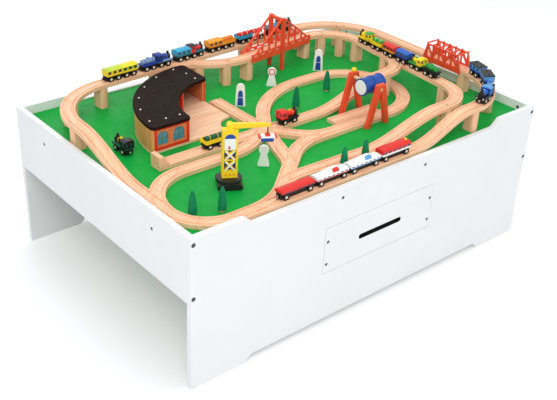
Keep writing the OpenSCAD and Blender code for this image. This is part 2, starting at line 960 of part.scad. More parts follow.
// One solid that follows several lines, with pegs and sockets at the named ends
module track_piece(lines, pegs = [], sockets = [])
    difference() {
        union() {
            for (line = lines)
                lay(line[0], line[1]);
            for (pose = pegs)
                at(pose)
                    peg();
        }
        for (line = lines)
            lay(line[0], line[1], true);
        for (pose = sockets)
            at(pose)
                socket();
    }

// Pieces of a run, each with a socket behind and a peg ahead
module track_run(pose, pieces, from, to, last_peg = true)
    for (i = [from:to]) {
        start = after_all(pose, first_of(pieces, i));
        end = after(start, pieces[i]);
        track_piece([[start, with_gap([pieces[i]])]], last_peg || i < to ? [end] : [], [start]);
    }

module ground_track()
    color(beech) on_board() {
        track_run(outer_front_start, outer_front, 0, 1);
        track_run(turned(corner_switch), corner_run, 0, 2);
        track_run(arm_end(siding_angle), siding_run, 0, 1, false);
        track_run(arm_end(shed_angle), [straight(shed_line_length)], 0, 0, false);
        track_run(arm_end(corner_angle), corner_line, 0, 1);
        track_run(arm_end(oval_angle), oval_run, 0, len(oval_run) - 1);
        track_run(inner_start, inner_ramp, 0, 0);
        track_run(deck_branch_end, centre_run, 1, 1);
        track_piece([[[loading_x, loading_y, ground_z, 0], [straight(loading_length)]]]);
    }

// Flat outline of a piece, with an offset to the left and an overrun at each end
module flat_band(piece, width, offset, leads)
    if (piece[0] == "straight")
        translate([-leads[0] * overrun, offset - width / 2])
            square([piece[1] + (leads[0] + leads[1]) * overrun, width]);
    else
        ring_band(piece[1], piece[2], width, side_of(piece[2]) * offset, leads);

module ring_band(radius, turn, width, offset, leads) {
    first = turn > 0 ? -90 - leads[0] : 90 + turn - leads[1];
    last = turn > 0 ? turn - 90 + leads[1] : 90 + leads[0];
    far = 2 * radius;
    translate([0, side_of(turn) * radius])
        intersection() {
            difference() {
                circle(r = radius - offset + width / 2, $fn = 192);
                circle(r = radius - offset - width / 2, $fn = 192);
            }
            polygon([[0, 0], far * heading(first), far * heading((first + last) / 2), far * heading(last)]);
        }
}

module flat_at(pose)
    translate([pose.x, pose.y])
        rotate(pose[3])
            children();

module flat_line(line, width, offset, lead)
    for (i = [0:len(line[1]) - 1])
        flat_at(after_all(line[0], first_of(line[1], i)))
            flat_band(line[1][i], width, offset,
                [i == 0 ? lead : 0, i == len(line[1]) - 1 ? lead : 0]);

// A level piece that follows several lines, cut flat because its grooves cross
module switch_piece(lines, pegs, sockets)
    translate([0, 0, lines[0][0].z])
        difference() {
            linear_extrude(track_thickness)
                difference() {
                    union() {
                        for (line = lines)
                            flat_line(line, track_width, 0, 0);
                        for (pose = pegs)
                            flat_at(pose)
                                key_outline();
                    }
                    for (pose = sockets)
                        flat_at(pose)
                            key_outline(wood_gap);
                }
            translate([0, 0, track_thickness - groove_depth])
                linear_extrude(groove_depth + overrun)
                    for (line = lines, side = [-1, 1])
                        flat_line(line, groove_width, side * rail_gauge / 2, 1);
        }

module switch_track()
    color(beech) on_board() {
        switch_piece(
            [for (angle = arms) [arm_start(angle), [straight(arm_length)]]],
            [for (angle = out_arms) arm_end(angle)],
            [for (angle = in_arms) turned(arm_end(angle))]
        );
        switch_piece(
            [[yard_switch, with_gap([yard_trunk])], [yard_switch, yard_branch]],
            [yard_fork, inner_start],
            [yard_switch]
        );
        switch_piece(
            [[yard_fork, with_gap(yard_oval)], [yard_fork, with_gap(yard_link)]],
            [after_all(yard_fork, yard_link)],
            [yard_fork, turned(yard_oval_end)]
        );
        switch_piece(
            [[front_switch, [straight(switch_length)]],
             [front_switch, with_gap([curve(large_radius, branch_turn)])]],
            [outer_front_start, yard_switch],
            [front_switch]
        );
        switch_piece(
            [[corner_switch, [straight(corner_switch_length)]], [corner_switch, [corner_branch]]],
            [turned(corner_switch)],
            [turned(after(corner_switch, straight(corner_switch_length))),
             turned(after(corner_switch, corner_branch))]
        );
        switch_piece(
            [[oval_switch, oval_switch_main], [oval_switch, with_gap([curve(link_radius, -link_turn)])]],
            [turned(yard_oval_end), turned(arm_end(link_angle))],
            [oval_switch]
        );
        switch_piece(
            [[rear_switch, [straight(switch_length)]], [rear_switch, [rear_branch]]],
            [turned(rear_switch), after(rear_switch, rear_branch)],
            [turned(after(rear_switch, straight(switch_length)))]
        );
        switch_piece(
            [[deck_switch, [straight(deck_switch_length)]], [deck_switch, [deck_branch]]],
            [deck_branch_end],
            [deck_switch, turned(deck_switch_end)]
        );
    }

module raised_track()
    color(beech) on_board() {
        track_run(outer_front_start, outer_front, 3, len(outer_front) - 1);
        track_run(turned(rear_switch), outer_left, 0, 2);
        track_run(after(rear_switch, rear_branch), inner_run, 0, len(inner_run) - 1);
        track_run(inner_start, inner_ramp, 2, len(inner_ramp) - 1);
    }

module ramp_track()
    color(beech) on_board() {
        track_run(outer_front_start, outer_front, 2, 2);
        track_run(turned(rear_switch), outer_left, 3, 3);
        track_run(inner_start, inner_ramp, 1, 1);
        track_run(deck_branch_end, centre_run, 0, 0);
    }

module track_piers()
    color(beech) on_board()
        for (pose = pier_poses)
            at([pose.x, pose.y, ground_z, pose[3]])
                intersection() {
                    block(span(pier_depth), span(pier_width), [0, pier_height]);
                    cylinder(d = pier_width, h = pier_height);
                }

module buffer_stop()
    color(beech) on_board()
        at([buffer_end.x, buffer_end.y, track_thickness, buffer_end[3]])
            upright(track_width)
                polygon([[-buffer_length, 0], [0, 0], [0, buffer_height], [-buffer_slope, buffer_height]]);

// Suspension bridge

module girder_outline() {
    bay = girder_length / girder_openings;
    difference() {
        translate([0, -girder_drop])
            square([girder_length, girder_height]);
        for (i = [0:girder_openings - 1])
            translate([i * bay + girder_rail, track_thickness])
                square([bay - 2 * girder_rail, girder_height - girder_drop - track_thickness - girder_rail]);
    }
}

module bridge_girders()
    color(bridge_red) on_board()
        at(bridge_middle)
            for (side = [-1, 1], end = [-1, 1])
                translate([end * (post_size + girder_length) / 2 - girder_length / 2, side * girder_half, 0])
                    upright(girder_thickness)
                        girder_outline();

module bridge_tower()
    color(bridge_red) on_board()
        at([bridge_middle.x, bridge_middle.y, ground_z, bridge_middle[3]]) {
            for (side = [-1, 1])
                translate([0, side * post_half, 0])
                    block(span(post_size), span(post_size), [0, bridge_tower_height]);
            for (share = crossbar_shares)
                translate([0, 0, share * bridge_tower_height])
                    block(span(post_size), span(2 * post_half - post_size), span(crossbar_height));
        }

module bridge_cables()
    color(bridge_red) on_board()
        at(bridge_middle)
            for (side = [-1, 1], end = [-1, 1])
                translate([0, side * girder_half, 0])
                    scale([end, 1, 1])
                        upright(girder_thickness)
                            cable_outline();

module cable_outline() {
    foot = [bridge_length / 2 - cable_foot_inset, girder_height - girder_drop];
    top = [post_size / 2, bridge_tower_height - deck_rise];
    fall = (top.y - foot.y) / (foot.x - top.x);
    polygon([foot, [foot.x - cable_spread, foot.y], [top.x, top.y - cable_spread * fall], top]);
    for (share = hanger_shares) {
        x = share * foot.x;
        translate([x - hanger_width / 2, foot.y])
            square([hanger_width, fall * (foot.x - x) - cable_spread * fall / 2]);
    }
}

// Truss bridge

module truss_side()
    difference() {
        polygon([
            [0, 0], [truss_length, 0],
            [truss_length - truss_taper, truss_height], [truss_taper, truss_height]
        ]);
        for (i = [0:truss_bays - 1])
            translate([truss_taper + i * truss_bay, 0])
                truss_opening(truss_bay, i % 2 == 0);
    }

module truss_opening(bay, rising) {
    low = track_thickness + truss_bar;
    high = truss_height - truss_bar;
    slope = (bay - truss_bar) / 2;
    polygon(rising
        ? [[truss_bar / 2, low], [bay - truss_bar / 2, low], [bay - truss_bar / 2, high - slope / 2]]
        : [[truss_bar / 2, low], [bay - truss_bar / 2, low], [truss_bar / 2, high - slope / 2]]);
    polygon(rising
        ? [[truss_bar / 2, low + truss_bar + slope / 2], [bay - truss_bar, high], [truss_bar / 2, high]]
        : [[bay - truss_bar / 2, low + truss_bar + slope / 2], [bay - truss_bar / 2, high],
            [truss_bar, high]]);
}

module truss_bridge()
    color(bridge_red) on_board()
        at(truss_start) {
            for (side = [-1, 1])
                translate([0, side * truss_half, 0])
                    upright(truss_panel)
                        truss_side();
            for (i = [0:truss_bays])
                translate([truss_taper + i * truss_bay, 0, truss_height])
                    block(span(truss_bar), span(2 * truss_half + truss_panel), [0, truss_bar]);
        }

// Engine shed

module in_shed(z)
    translate([shed_x, shed_y, z])
        children();

module shed_base()
    color(beech) on_board()
        in_shed(ground_z)
            ring_sector(shed_floor_inner, shed_outer_radius, 90, 180, shed_floor);

module arch_outline(width, height) {
    translate([-width / 2, 0])
        square([width, height - width / 2]);
    translate([0, height - width / 2])
        circle(d = width);
}

// Windows of the front end wall, standing in its plane
module in_windows()
    for (share = window_shares)
        in_shed(shed_floor + window_sill)
            translate([-shed_inner_radius - share * shed_depth, shed_wall / 2, 0])
                children();

module shed_end_walls()
    color(shed_red) on_board() {
        difference() {
            in_shed(shed_floor)
                block([-wall_end, -shed_inner_radius], [0, shed_wall], [0, shed_wall_height]);
            in_windows()
                upright(2 * shed_wall)
                    arch_outline(window_width, window_height);
        }
        in_shed(shed_floor)
            block([-shed_wall, 0], [shed_inner_radius, wall_end], [0, shed_wall_height]);
    }

module shed_back_wall()
    color(warm_wood) on_board()
        in_shed(shed_floor)
            ring_sector(shed_outer_radius - shed_wall, shed_outer_radius, 90, 180, shed_wall_height);

module shed_posts()
    color(shed_red) on_board()
        in_shed(shed_floor)
            for (i = [1:stall_count - 1])
                rotate([0, 0, 90 + i * 90 / stall_count])
                    block(
                        [shed_inner_radius, shed_inner_radius + post_width],
                        span(post_width),
                        [0, shed_wall_height]
                    );

module shed_windows()
    color(window_blue) on_board()
        in_windows()
            upright(window_depth)
                translate([0, fit_gap])
                    arch_outline(window_width - 2 * fit_gap, window_height - 2 * fit_gap);

module shed_roof()
    color(shed_brown) on_board()
        in_shed(shed_roof_z)
            linear_extrude(roof_thickness)
                offset(r = roof_corner)
                    offset(delta = -roof_corner)
                        roof_plan();

module roof_plan() {
    inner = shed_inner_radius - roof_eave;
    outer = shed_outer_radius + roof_eave / 2;
    arc = [for (i = [0:24]) 90 + 90 * i / 24];
    polygon(concat(
        [[roof_eave, inner]], [for (a = arc) inner * heading(a)], [[-inner, -roof_eave]],
        [[-outer, -roof_eave]], reversed([for (a = arc) outer * heading(a)]), [[roof_eave, outer]]
    ));
}

// Crane, built round its slewing axis

module in_crane(z)
    translate([crane_x, crane_y, z])
        rotate([0, 0, crane_angle])
            children();

module crane_base()
    color(black_paint) on_board()
        in_crane(ground_z) {
            for (side = [-1, 1])
                translate([0, side * crawler_spread / 2, 0])
                    upright(crawler_width)
                        crawler_outline();
            translate([0, 0, crawler_height])
                cylinder(d = crawler_spread + crawler_width, h = crane_deck);
            translate([0, 0, crawler_height])
                cylinder(d = crane_pin, h = crane_deck + crane_pin_height);
        }

module crawler_outline() {
    straight_half = (crawler_length - crawler_height) / 2;
    translate([-straight_half, 0])
        square([2 * straight_half, crawler_height]);
    for (end = [-1, 1])
        translate([end * straight_half, crawler_height / 2])
            circle(d = crawler_height);
}

module crane_tower()
    color(crane_yellow) on_board()
        in_crane(tower_bottom) {
            difference() {
                union() {
                    block(span(tower_width), span(tower_depth), [0, crane_height - arm_boss / 2]);
                    for (side = [-1, 1])
                        translate([0, side * (arm_width / 2 + wood_gap + cheek_thickness / 2), crane_height])
                            upright(cheek_thickness)
                                cheek_outline();
                }
                translate([0, 0, -overrun])
                    cylinder(d = crane_pin + 2 * fit_gap, h = crane_pin_height + 2 * overrun);
                lattice_cut();
                translate([0, -tower_depth / 2, cab_share * crane_height])
                    block(span(tower_width - 2 * tower_wall), [-overrun, window_depth], [0, cab_height]);
            }
            translate([0, 0, crane_height])
                upright(arm_width + 2 * wood_gap + 2 * cheek_thickness)
                    circle(d = arm_pin);
        }

module cheek_outline() {
    circle(d = arm_boss);
    translate([-arm_boss / 2, -arm_boss])
        square([arm_boss, arm_boss]);
}

// Crossed lattice of the tower's lower half, open from front to back
module lattice_cut() {
    width = tower_width - 2 * tower_wall;
    height = lattice_share * crane_height;
    translate([0, 0, crane_pin_height + tower_wall])
        upright(tower_depth + 2 * overrun)
            for (row = [0, 1])
                translate([0, row * height / 2])
                    difference() {
                        translate([-width / 2, 0])
                            square([width, height / 2 - tower_wall / 2]);
                        for (side = [-1, 1])
                            scale([side, 1])
                                polygon([
                                    [width / 2, 0], [width / 2 - tower_wall, 0],
                                    [-width / 2, height / 2], [tower_wall - width / 2, height / 2]
                                ]);
                    }
}

module crane_window()
    color(window_blue) on_board()
        in_crane(tower_bottom + cab_share * crane_height + fit_gap)
            translate([0, -tower_depth / 2, 0])
                block(
                    [-tower_width / 2 + tower_wall + fit_gap, tower_width / 2 - tower_wall - fit_gap],
                    [0, window_depth - fit_gap],
                    [0, cab_height - 2 * fit_gap]
                );

module crane_arm()
    color(crane_yellow) on_board()
        in_crane(arm_pivot_z) {
            translate([crane_reach - eye_inset, 0, 0])
                upright(arm_width)
                    circle(d = tip_pin);
            difference() {
                upright(arm_width) {
                    circle(d = arm_boss - 2 * overrun);
                    polygon([
                        [0, -arm_depth / 2], [crane_reach, -arm_tip_depth / 2],
                        [crane_reach, arm_tip_depth / 2], [0, arm_depth / 2]
                    ]);
                }
                upright(arm_width + 2 * overrun)
                    circle(d = arm_pin + 2 * fit_gap);
                translate([crane_reach - tip_slot, 0, 0])
                    block([0, tip_slot + overrun],
                        span(eye_thickness + 2 * wood_gap),
                        [-arm_depth, arm_depth]);
            }
        }

module crane_hook()
    color(drum_blue) on_board()
        in_crane(arm_pivot_z)
            translate([crane_reach - eye_inset, 0, 0]) {
                difference() {
                    upright(eye_thickness)
                        circle(d = eye_diameter);
                    upright(eye_thickness + 2 * overrun)
                        circle(d = tip_pin + 2 * fit_gap);
                }
                translate([0, 0, -rope_drop - overrun])
                    cylinder(d = rope_diameter, h = rope_drop + overrun - tip_pin);
                block(span(load_length), span(load_width), [-rope_drop - load_height, -rope_drop]);
            }

// Loading gantry

module gantry_outline() {
    foot = gantry_foot_spread / 2;
    top = gantry_top_width / 2;
    inside_top = gantry_height - gantry_cap;
    polygon([
        [-foot - gantry_leg / 2, 0], [-foot + gantry_leg / 2, 0],
        [-gantry_notch / 2, inside_top], [gantry_notch / 2, inside_top],
        [foot - gantry_leg / 2, 0], [foot + gantry_leg / 2, 0], [top, gantry_height], [-top, gantry_height]
    ]);
}

module gantry_frames()
    color(bridge_red) on_board()
        for (y = [gantry_front_y, gantry_rear_y])
            difference() {
                translate([gantry_x, y, ground_z])
                    upright(gantry_thickness)
                        gantry_outline();
                in_shaft()
                    cylinder(d = shaft_diameter + 2 * fit_gap, h = 2 * shaft_length, center = true);
            }

module in_shaft()
    translate([gantry_x, (gantry_front_y + gantry_rear_y) / 2, shaft_z])
        rotate([90, 0, 0])
            children();

module gantry_shaft()
    color(dowel_tan) on_board()
        in_shaft()
            cylinder(d = shaft_diameter, h = shaft_length, center = true);

module in_drum()
    translate([gantry_x, drum_y, shaft_z])
        rotate([0, 90, 0])
            children();

module gantry_drum()
    color(drum_blue) on_board()
        difference() {
            in_drum() {
                cylinder(d = drum_diameter - 2 * drum_hoop, h = drum_length - 2 * drum_end, center = true);
                for (end = [-1, 0, 1])
                    translate([0, 0, end * (drum_length / 2 - drum_end - drum_hoop_width / 2)])
                        cylinder(d = drum_diameter, h = drum_hoop_width, center = true);
            }
            in_shaft()
                cylinder(d = shaft_diameter + 2 * fit_gap, h = shaft_length, center = true);
        }

module drum_ends()
    color(white_paint) on_board()
        in_drum()
            for (end = [-1, 1])
                translate([0, 0, end * (drum_length - drum_end) / 2])
                    cylinder(d = drum_end_diameter, h = drum_end, center = true);

// Trees, figures and signs, placed by shares of the layout's half sizes

module standing(share)
    translate([share.x * layout_half_length, share.y * layout_half_width, ground_z])
        children();

module trees()
    color(tree_green) on_board()
        for (share = tree_shares)
            standing(share)
                rotate_extrude()
                    polygon([
                        [0, 0], [tree_trunk, 0], [tree_trunk, tree_trunk_height],
                        [tree_radius, tree_trunk_height], [tree_waist, tree_height / 2],
                        [tree_tip, tree_height], [0, tree_height]
                    ]);

module cut_out(width, height, head)
    rotate([0, 0, figure_angle])
        upright(figure_thickness) {
            polygon([
                [-figure_foot / 2, 0], [figure_foot / 2, 0],
                [figure_foot / 2, figure_foot_height], [width / 2, height - head / 2],
                [-width / 2, height - head / 2], [-figure_foot / 2, figure_foot_height]
            ]);
            translate([0, height - head / 2])
                circle(d = head);
        }

module figure_boards()
    color(white_paint) on_board() {
        for (share = figure_shares)
            standing(share)
                cut_out(figure_width, figure_height, figure_width);
        for (share = sign_shares)
            standing(share)
                cut_out(sign_neck, sign_height, sign_head);
    }

// Cars, standing over their middle on the track's base level

function two_axles(length) = span(length - 2 * wheel_inset);
function four_axles(length) = concat(two_axles(length), two_axles(length - 2 * axle_spacing));

module car_chassis(length, axles, reach)
    difference() {
        union() {
            block(span(length), span(chassis_width), [chassis_z, body_z]);
            translate([0, 0, (chassis_z + body_z) / 2])
                rotate([0, 90, 0])
                    cylinder(d = coupler_diameter, h = length + 2 * reach - seat_gap, center = true);
        }
        for (x = axles)
            translate([x, 0, axle_z])
                upright(chassis_width + 2 * overrun)
                    circle(d = axle_diameter + 2 * fit_gap);
    }

module car_wheels(axles)
    for (x = axles)
        translate([x, 0, axle_z]) {
            upright(rail_gauge + wheel_thickness)
                circle(d = axle_diameter);
            for (side = [-1, 1])
                translate([0, side * rail_gauge / 2, 0])
                    upright(wheel_thickness)
                        circle(d = wheel_diameter);
        }

module roofed_body(length, height)
    translate([0, 0, body_z])
        rotate([90, 0, 90])
            linear_extrude(length, center = true)
                roof_section(height);

module roof_section(height) {
    translate([-car_width / 2, 0])
        square([car_width, height - roof_rise]);
    intersection() {
        translate([-car_width / 2, 0])
            square([car_width, height]);
        translate([0, height - roof_radius])
            circle(r = roof_radius, $fn = 96);
    }
}

module tank_body(length) {
    block(span(length), span(car_width), [body_z - overrun, body_z + roof_rise]);
    translate([0, 0, body_z + boiler_share * car_height / 2])
        rotate([0, 90, 0])
            cylinder(d = boiler_share * car_height, h = length - 2 * roof_rise, center = true);
}

module engine_body(length) {
    cab = cab_length_share * length;
    tank_body(length);
    translate([-length / 2 + cab / 2, 0, 0])
        roofed_body(cab, car_height + roof_rise);
    translate([length / 2 - wheel_inset, 0, body_z])
        cylinder(d = funnel_diameter, h = boiler_share * car_height + funnel_height);
}

module wagon_body(length) {
    roofed_body(length, car_height / 2);
    translate([0, 0, body_z + car_height / 2])
        rotate([0, 90, 0])
            cylinder(d = boiler_share * car_height, h = load_share * length, center = true);
}

module car_body(length, kind, height = car_height) {
    if (kind == "engine") engine_body(length);
    if (kind == "tank") tank_body(length);
    if (kind == "wagon") wagon_body(length);
    if (kind == "roofed") roofed_body(length, height);
}

module car(length, kind, height = car_height) {
    car_chassis(length, two_axles(length), coupler_reach);
    car_body(length, kind, height);
}

// A long car has two bodies on one chassis
module long_car(kinds) {
    car_chassis(rear_car_length, four_axles(rear_car_length), rear_reach);
    for (end = [0, 1])
        translate([(end - 1 / 2) * rear_car_length / 2, 0, 0])
            car_body(rear_car_length / 2, kinds[end]);
}

rear_kinds = [
    ["roofed", "roofed"], ["tank", "engine"], ["roofed", "engine"],
    ["roofed", "wagon"], ["wagon", "tank"], ["tank", "engine"]
];
inner_kinds = ["engine", "wagon", "roofed", "roofed", "engine", "tank"];
corner_kinds = ["roofed", "roofed", "tank", "engine"];

// Cars in a row, each drawn by the children with its number in $car
module each_car(start, length, count, reach = coupler_reach)
    on_board()
        for ($car = [0:count - 1])
            at(after(start, straight($car * (length + 2 * reach))))
                children();

module rear_train_cars()
    each_car(rear_train_start, rear_car_length, rear_car_count, rear_reach)
        color($car % 2 == 0 ? crane_yellow : drum_blue)
            long_car(rear_kinds[$car]);

module rear_train_wheels()
    color(black_paint)
        each_car(rear_train_start, rear_car_length, rear_car_count, rear_reach)
            car_wheels(four_axles(rear_car_length));

module inner_train_cars()
    each_car(inner_train_start, inner_car_length, inner_car_count)
        color($car % 2 == 0 ? crane_yellow : shed_red)
            rotate([0, 0, 180])
                car(inner_car_length, inner_kinds[$car]);

module inner_train_wheels()
    color(black_paint)
        each_car(inner_train_start, inner_car_length, inner_car_count)
            car_wheels(two_axles(inner_car_length));

module corner_train_cars()
    color(drum_blue) on_board()
        for (i = [0:corner_car_count - 1])
            at(on_corner(i))
                rotate([0, 0, 180])
                    car(corner_car_length - seat_gap, corner_kinds[corner_car_count - 1 - i]);

module corner_train_wheels()
    color(black_paint) on_board()
        for (i = [0:corner_car_count - 1])
            at(on_corner(i))
                car_wheels(two_axles(corner_car_length - seat_gap));

module front_train_cars()
    each_car(front_train_start, front_car_length, front_car_count)
        color($car % 3 == 0 ? shed_red : white_paint)
            car(front_car_length, "roofed", front_car_shares[$car] * car_height);

module front_train_wheels()
    color(black_paint)
        each_car(front_train_start, front_car_length, front_car_count)
            car_wheels(two_axles(front_car_length));

module red_engine()
    color(shed_red) on_board()
        at(red_engine_pose)
            car(car_length, "engine");

module red_engine_wheels()
    color(black_paint) on_board()
        at(red_engine_pose)
            car_wheels(two_axles(car_length));

module black_engine()
    color(black_paint) on_board()
        at(black_engine_pose)
            car(car_length, "engine");

module black_engine_wheels()
    color(black_paint) on_board()
        at(black_engine_pose)
            car_wheels(two_axles(car_length));

module siding_wagon()
    color(crane_yellow) on_board()
        at(wagon_pose)
            car(car_length, "wagon");

module siding_wagon_wheels()
    color(black_paint) on_board()
        at(wagon_pose)
            car_wheels(two_axles(car_length));

front_panel();
rear_panel();
left_apron();
right_apron();
play_board();
long_cleats();
end_cleats();
drawer_runners();
runner_dowels();
corner_bolts();
barrel_nuts();
panel_screws();
drawer_front();
drawer_left_side();
drawer_right_side();
drawer_back();
drawer_floor_panel();
drawer_screws();
ground_track();
switch_track();
raised_track();
ramp_track();
track_piers();
buffer_stop();
bridge_girders();
bridge_tower();
bridge_cables();
truss_bridge();
shed_base();
shed_end_walls();
shed_back_wall();
shed_posts();
shed_windows();
shed_roof();
crane_base();
crane_tower();
crane_window();
crane_arm();
crane_hook();
gantry_frames();
gantry_shaft();
gantry_drum();
drum_ends();
trees();
figure_boards();
rear_train_cars();
rear_train_wheels();
inner_train_cars();
inner_train_wheels();
corner_train_cars();
corner_train_wheels();
front_train_cars();
front_train_wheels();
red_engine();
red_engine_wheels();
black_engine();
black_engine_wheels();
siding_wagon();
siding_wagon_wheels();
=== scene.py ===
import json
from math import atan2, cos, pi, radians, sin

import bpy
import numpy as np
from mathutils import Matrix, Vector


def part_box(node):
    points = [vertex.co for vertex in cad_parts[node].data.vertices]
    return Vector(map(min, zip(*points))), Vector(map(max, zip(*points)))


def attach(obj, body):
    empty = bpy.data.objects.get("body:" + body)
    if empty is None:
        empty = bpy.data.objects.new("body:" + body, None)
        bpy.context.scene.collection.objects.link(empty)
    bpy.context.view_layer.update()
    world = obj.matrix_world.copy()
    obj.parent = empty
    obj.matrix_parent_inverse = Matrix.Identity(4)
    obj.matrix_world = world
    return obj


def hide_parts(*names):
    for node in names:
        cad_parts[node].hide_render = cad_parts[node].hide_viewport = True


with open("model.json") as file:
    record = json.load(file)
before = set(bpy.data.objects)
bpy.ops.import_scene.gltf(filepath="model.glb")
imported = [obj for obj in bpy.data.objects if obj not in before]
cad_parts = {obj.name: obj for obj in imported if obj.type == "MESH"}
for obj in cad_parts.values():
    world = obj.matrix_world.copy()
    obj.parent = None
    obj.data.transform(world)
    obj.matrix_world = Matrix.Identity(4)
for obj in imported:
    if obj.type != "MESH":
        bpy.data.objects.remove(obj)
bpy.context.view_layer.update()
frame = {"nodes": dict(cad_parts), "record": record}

MM = 0.001
TINY = 0.02 * MM
SHARP_ANGLE = radians(35)
scene = bpy.context.scene


# Selecting and finishing

def deselect():
    bpy.ops.object.select_all(action="DESELECT")


def pick(piece):
    deselect()
    piece.select_set(True)
    bpy.context.view_layer.objects.active = piece


def edit(piece):
    pick(piece)
    bpy.ops.object.mode_set(mode="EDIT")
    bpy.ops.mesh.select_all(action="SELECT")


def leave():
    bpy.ops.object.mode_set(mode="OBJECT")


def round_sharp_edges(piece, width, segments):
    pick(piece)
    rounded = piece.modifiers.new("soft edges", "BEVEL")
    rounded.width = width * MM
    rounded.segments = segments
    rounded.limit_method = "ANGLE"
    rounded.angle_limit = SHARP_ANGLE
    rounded.use_clamp_overlap = False
    rounded.miter_outer = "MITER_ARC"
    bpy.ops.object.modifier_apply(modifier=rounded.name)


def round_long_edges(piece, width, segments, shortest):
    """Rounds the sharp edges but for the short ones, which are the rims of drilled holes."""
    edit(piece)
    bpy.ops.mesh.select_mode(type="EDGE")
    bpy.ops.mesh.select_all(action="DESELECT")
    bpy.ops.mesh.edges_select_sharp(sharpness=SHARP_ANGLE)
    leave()
    corners = piece.data.vertices
    for edge in piece.data.edges:
        start, end = (corners[i].co for i in edge.vertices)
        edge.select = edge.select and (end - start).length > shortest * MM
    bpy.ops.object.mode_set(mode="EDIT")
    bpy.ops.mesh.bevel(offset=width * MM, segments=segments, clamp_overlap=False, miter_outer="ARC")
    leave()


def soften(piece, width, segments=2, shortest=0):
    """Rounds a piece's sharp edges and shades the rest smooth."""
    if shortest:
        round_long_edges(piece, width, segments, shortest)
    else:
        round_sharp_edges(piece, width, segments)
    edit(piece)
    bpy.ops.mesh.remove_doubles(threshold=TINY)
    leave()
    bpy.ops.object.shade_smooth_by_angle(angle=SHARP_ANGLE)
    flat = piece.modifiers.new("flat faces", "WEIGHTED_NORMAL")
    flat.keep_sharp = True
    bpy.ops.object.modifier_apply(modifier=flat.name)
    return piece


def put_on(piece, body, slot, *nodes):
    """Rides a finished piece on its body and lets it stand for CAD nodes; the slot is not used."""
    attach(piece, body)
    if nodes:
        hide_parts(*nodes)
    return piece


# Camera, light and floor

FRAME_WIDTH = 557
FOCAL_PIXELS = 935.95
CAMERA_AZIMUTH = radians(-41.394)
CAMERA_ELEVATION = radians(30.49)
CAMERA_ROLL = radians(3.02)
TABLE_IN_CAMERA = Vector((-6.315, 104.942, 2857.885)) * MM
SENSOR_WIDTH = 36
SKY_LIGHT = (0.93, 0.97, 1, 1)
SKY_STRENGTH = 0.62
LAMPS = {
    "key": {"place": (-2.3, -2.1, 2.9), "size": 2.2, "power": 66},
    "fill": {"place": (2.4, -2.6, 2.4), "size": 2.6, "power": 24},
    "top": {"place": (0.2, 0.6, 3.4), "size": 2.4, "power": 28},
    "rear": {"place": (0.8, 3.4, 2.0), "size": 2.6, "power": 22},
}
FLOOR_SIZE = 14
FLOOR_LIFT = 0.22
FLOOR_GREYS = (0.86, 0.86, 0.86, 1), (0.89, 0.89, 0.89, 1)


def make_camera():
    """A camera that sees the table from where the photograph was taken."""
    a, e, r = CAMERA_AZIMUTH, CAMERA_ELEVATION, CAMERA_ROLL
    back = Vector((sin(a) * cos(e), -cos(a) * cos(e), sin(e)))
    right = Vector((cos(a), sin(a), 0))
    up = back.cross(right)
    turn = Matrix(((cos(r), -sin(r), 0), (sin(r), cos(r), 0), (0, 0, 1)))
    view = turn @ Matrix((right, -up, -back))
    place = -(view.transposed() @ TABLE_IN_CAMERA)
    axes = Matrix((view[0], -view[1], -view[2])).transposed()
    lens = bpy.data.cameras.new("camera")
    lens.sensor_width = SENSOR_WIDTH
    lens.sensor_fit = "HORIZONTAL"
    lens.lens = SENSOR_WIDTH * FOCAL_PIXELS / FRAME_WIDTH
    camera = bpy.data.objects.new("camera", lens)
    camera.matrix_world = Matrix.Translation(place) @ axes.to_4x4()
    scene.collection.objects.link(camera)
    scene.camera = camera


def soft_lamp(name, place, size, power):
    data = bpy.data.lights.new(name, "AREA")
    data.shape = "SQUARE"
    data.size = size
    data.energy = power
    lamp = bpy.data.objects.new(name, data)
    lamp.location = place
    lamp.rotation_euler = (-Vector(place)).to_track_quat("-Z", "Y").to_euler()
    scene.collection.objects.link(lamp)


def background_or(tree, lit, shown):
    """Mixes a shader that lights the object with one that only the eye, mirrors and glass see."""
    rays = tree.nodes.new("ShaderNodeLightPath")
    seen = rays.outputs["Is Camera Ray"]
    for other in ("Is Glossy Ray", "Is Transmission Ray"):
        either = tree.nodes.new("ShaderNodeMath")
        either.operation = "MAXIMUM"
        tree.links.new(seen, either.inputs[0])
        tree.links.new(rays.outputs[other], either.inputs[1])
        seen = either.outputs[0]
    mix = tree.nodes.new("ShaderNodeMixShader")
    tree.links.new(seen, mix.inputs[0])
    tree.links.new(lit.outputs[0], mix.inputs[1])
    tree.links.new(shown.outputs[0], mix.inputs[2])
    return mix


def make_studio():
    world = bpy.data.worlds.new("studio")
    scene.world = world
    world.use_nodes = True
    tree = world.node_tree
    tree.nodes.clear()
    lit = tree.nodes.new("ShaderNodeBackground")
    lit.inputs["Color"].default_value = SKY_LIGHT
    lit.inputs["Strength"].default_value = SKY_STRENGTH
    shown = tree.nodes.new("ShaderNodeBackground")
    shown.inputs["Color"].default_value = (1, 1, 1, 1)
    out = tree.nodes.new("ShaderNodeOutputWorld")
    tree.links.new(background_or(tree, lit, shown).outputs[0], out.inputs["Surface"])
    for name, lamp in LAMPS.items():
        soft_lamp(name, **lamp)
    scene.view_settings.view_transform = "Standard"


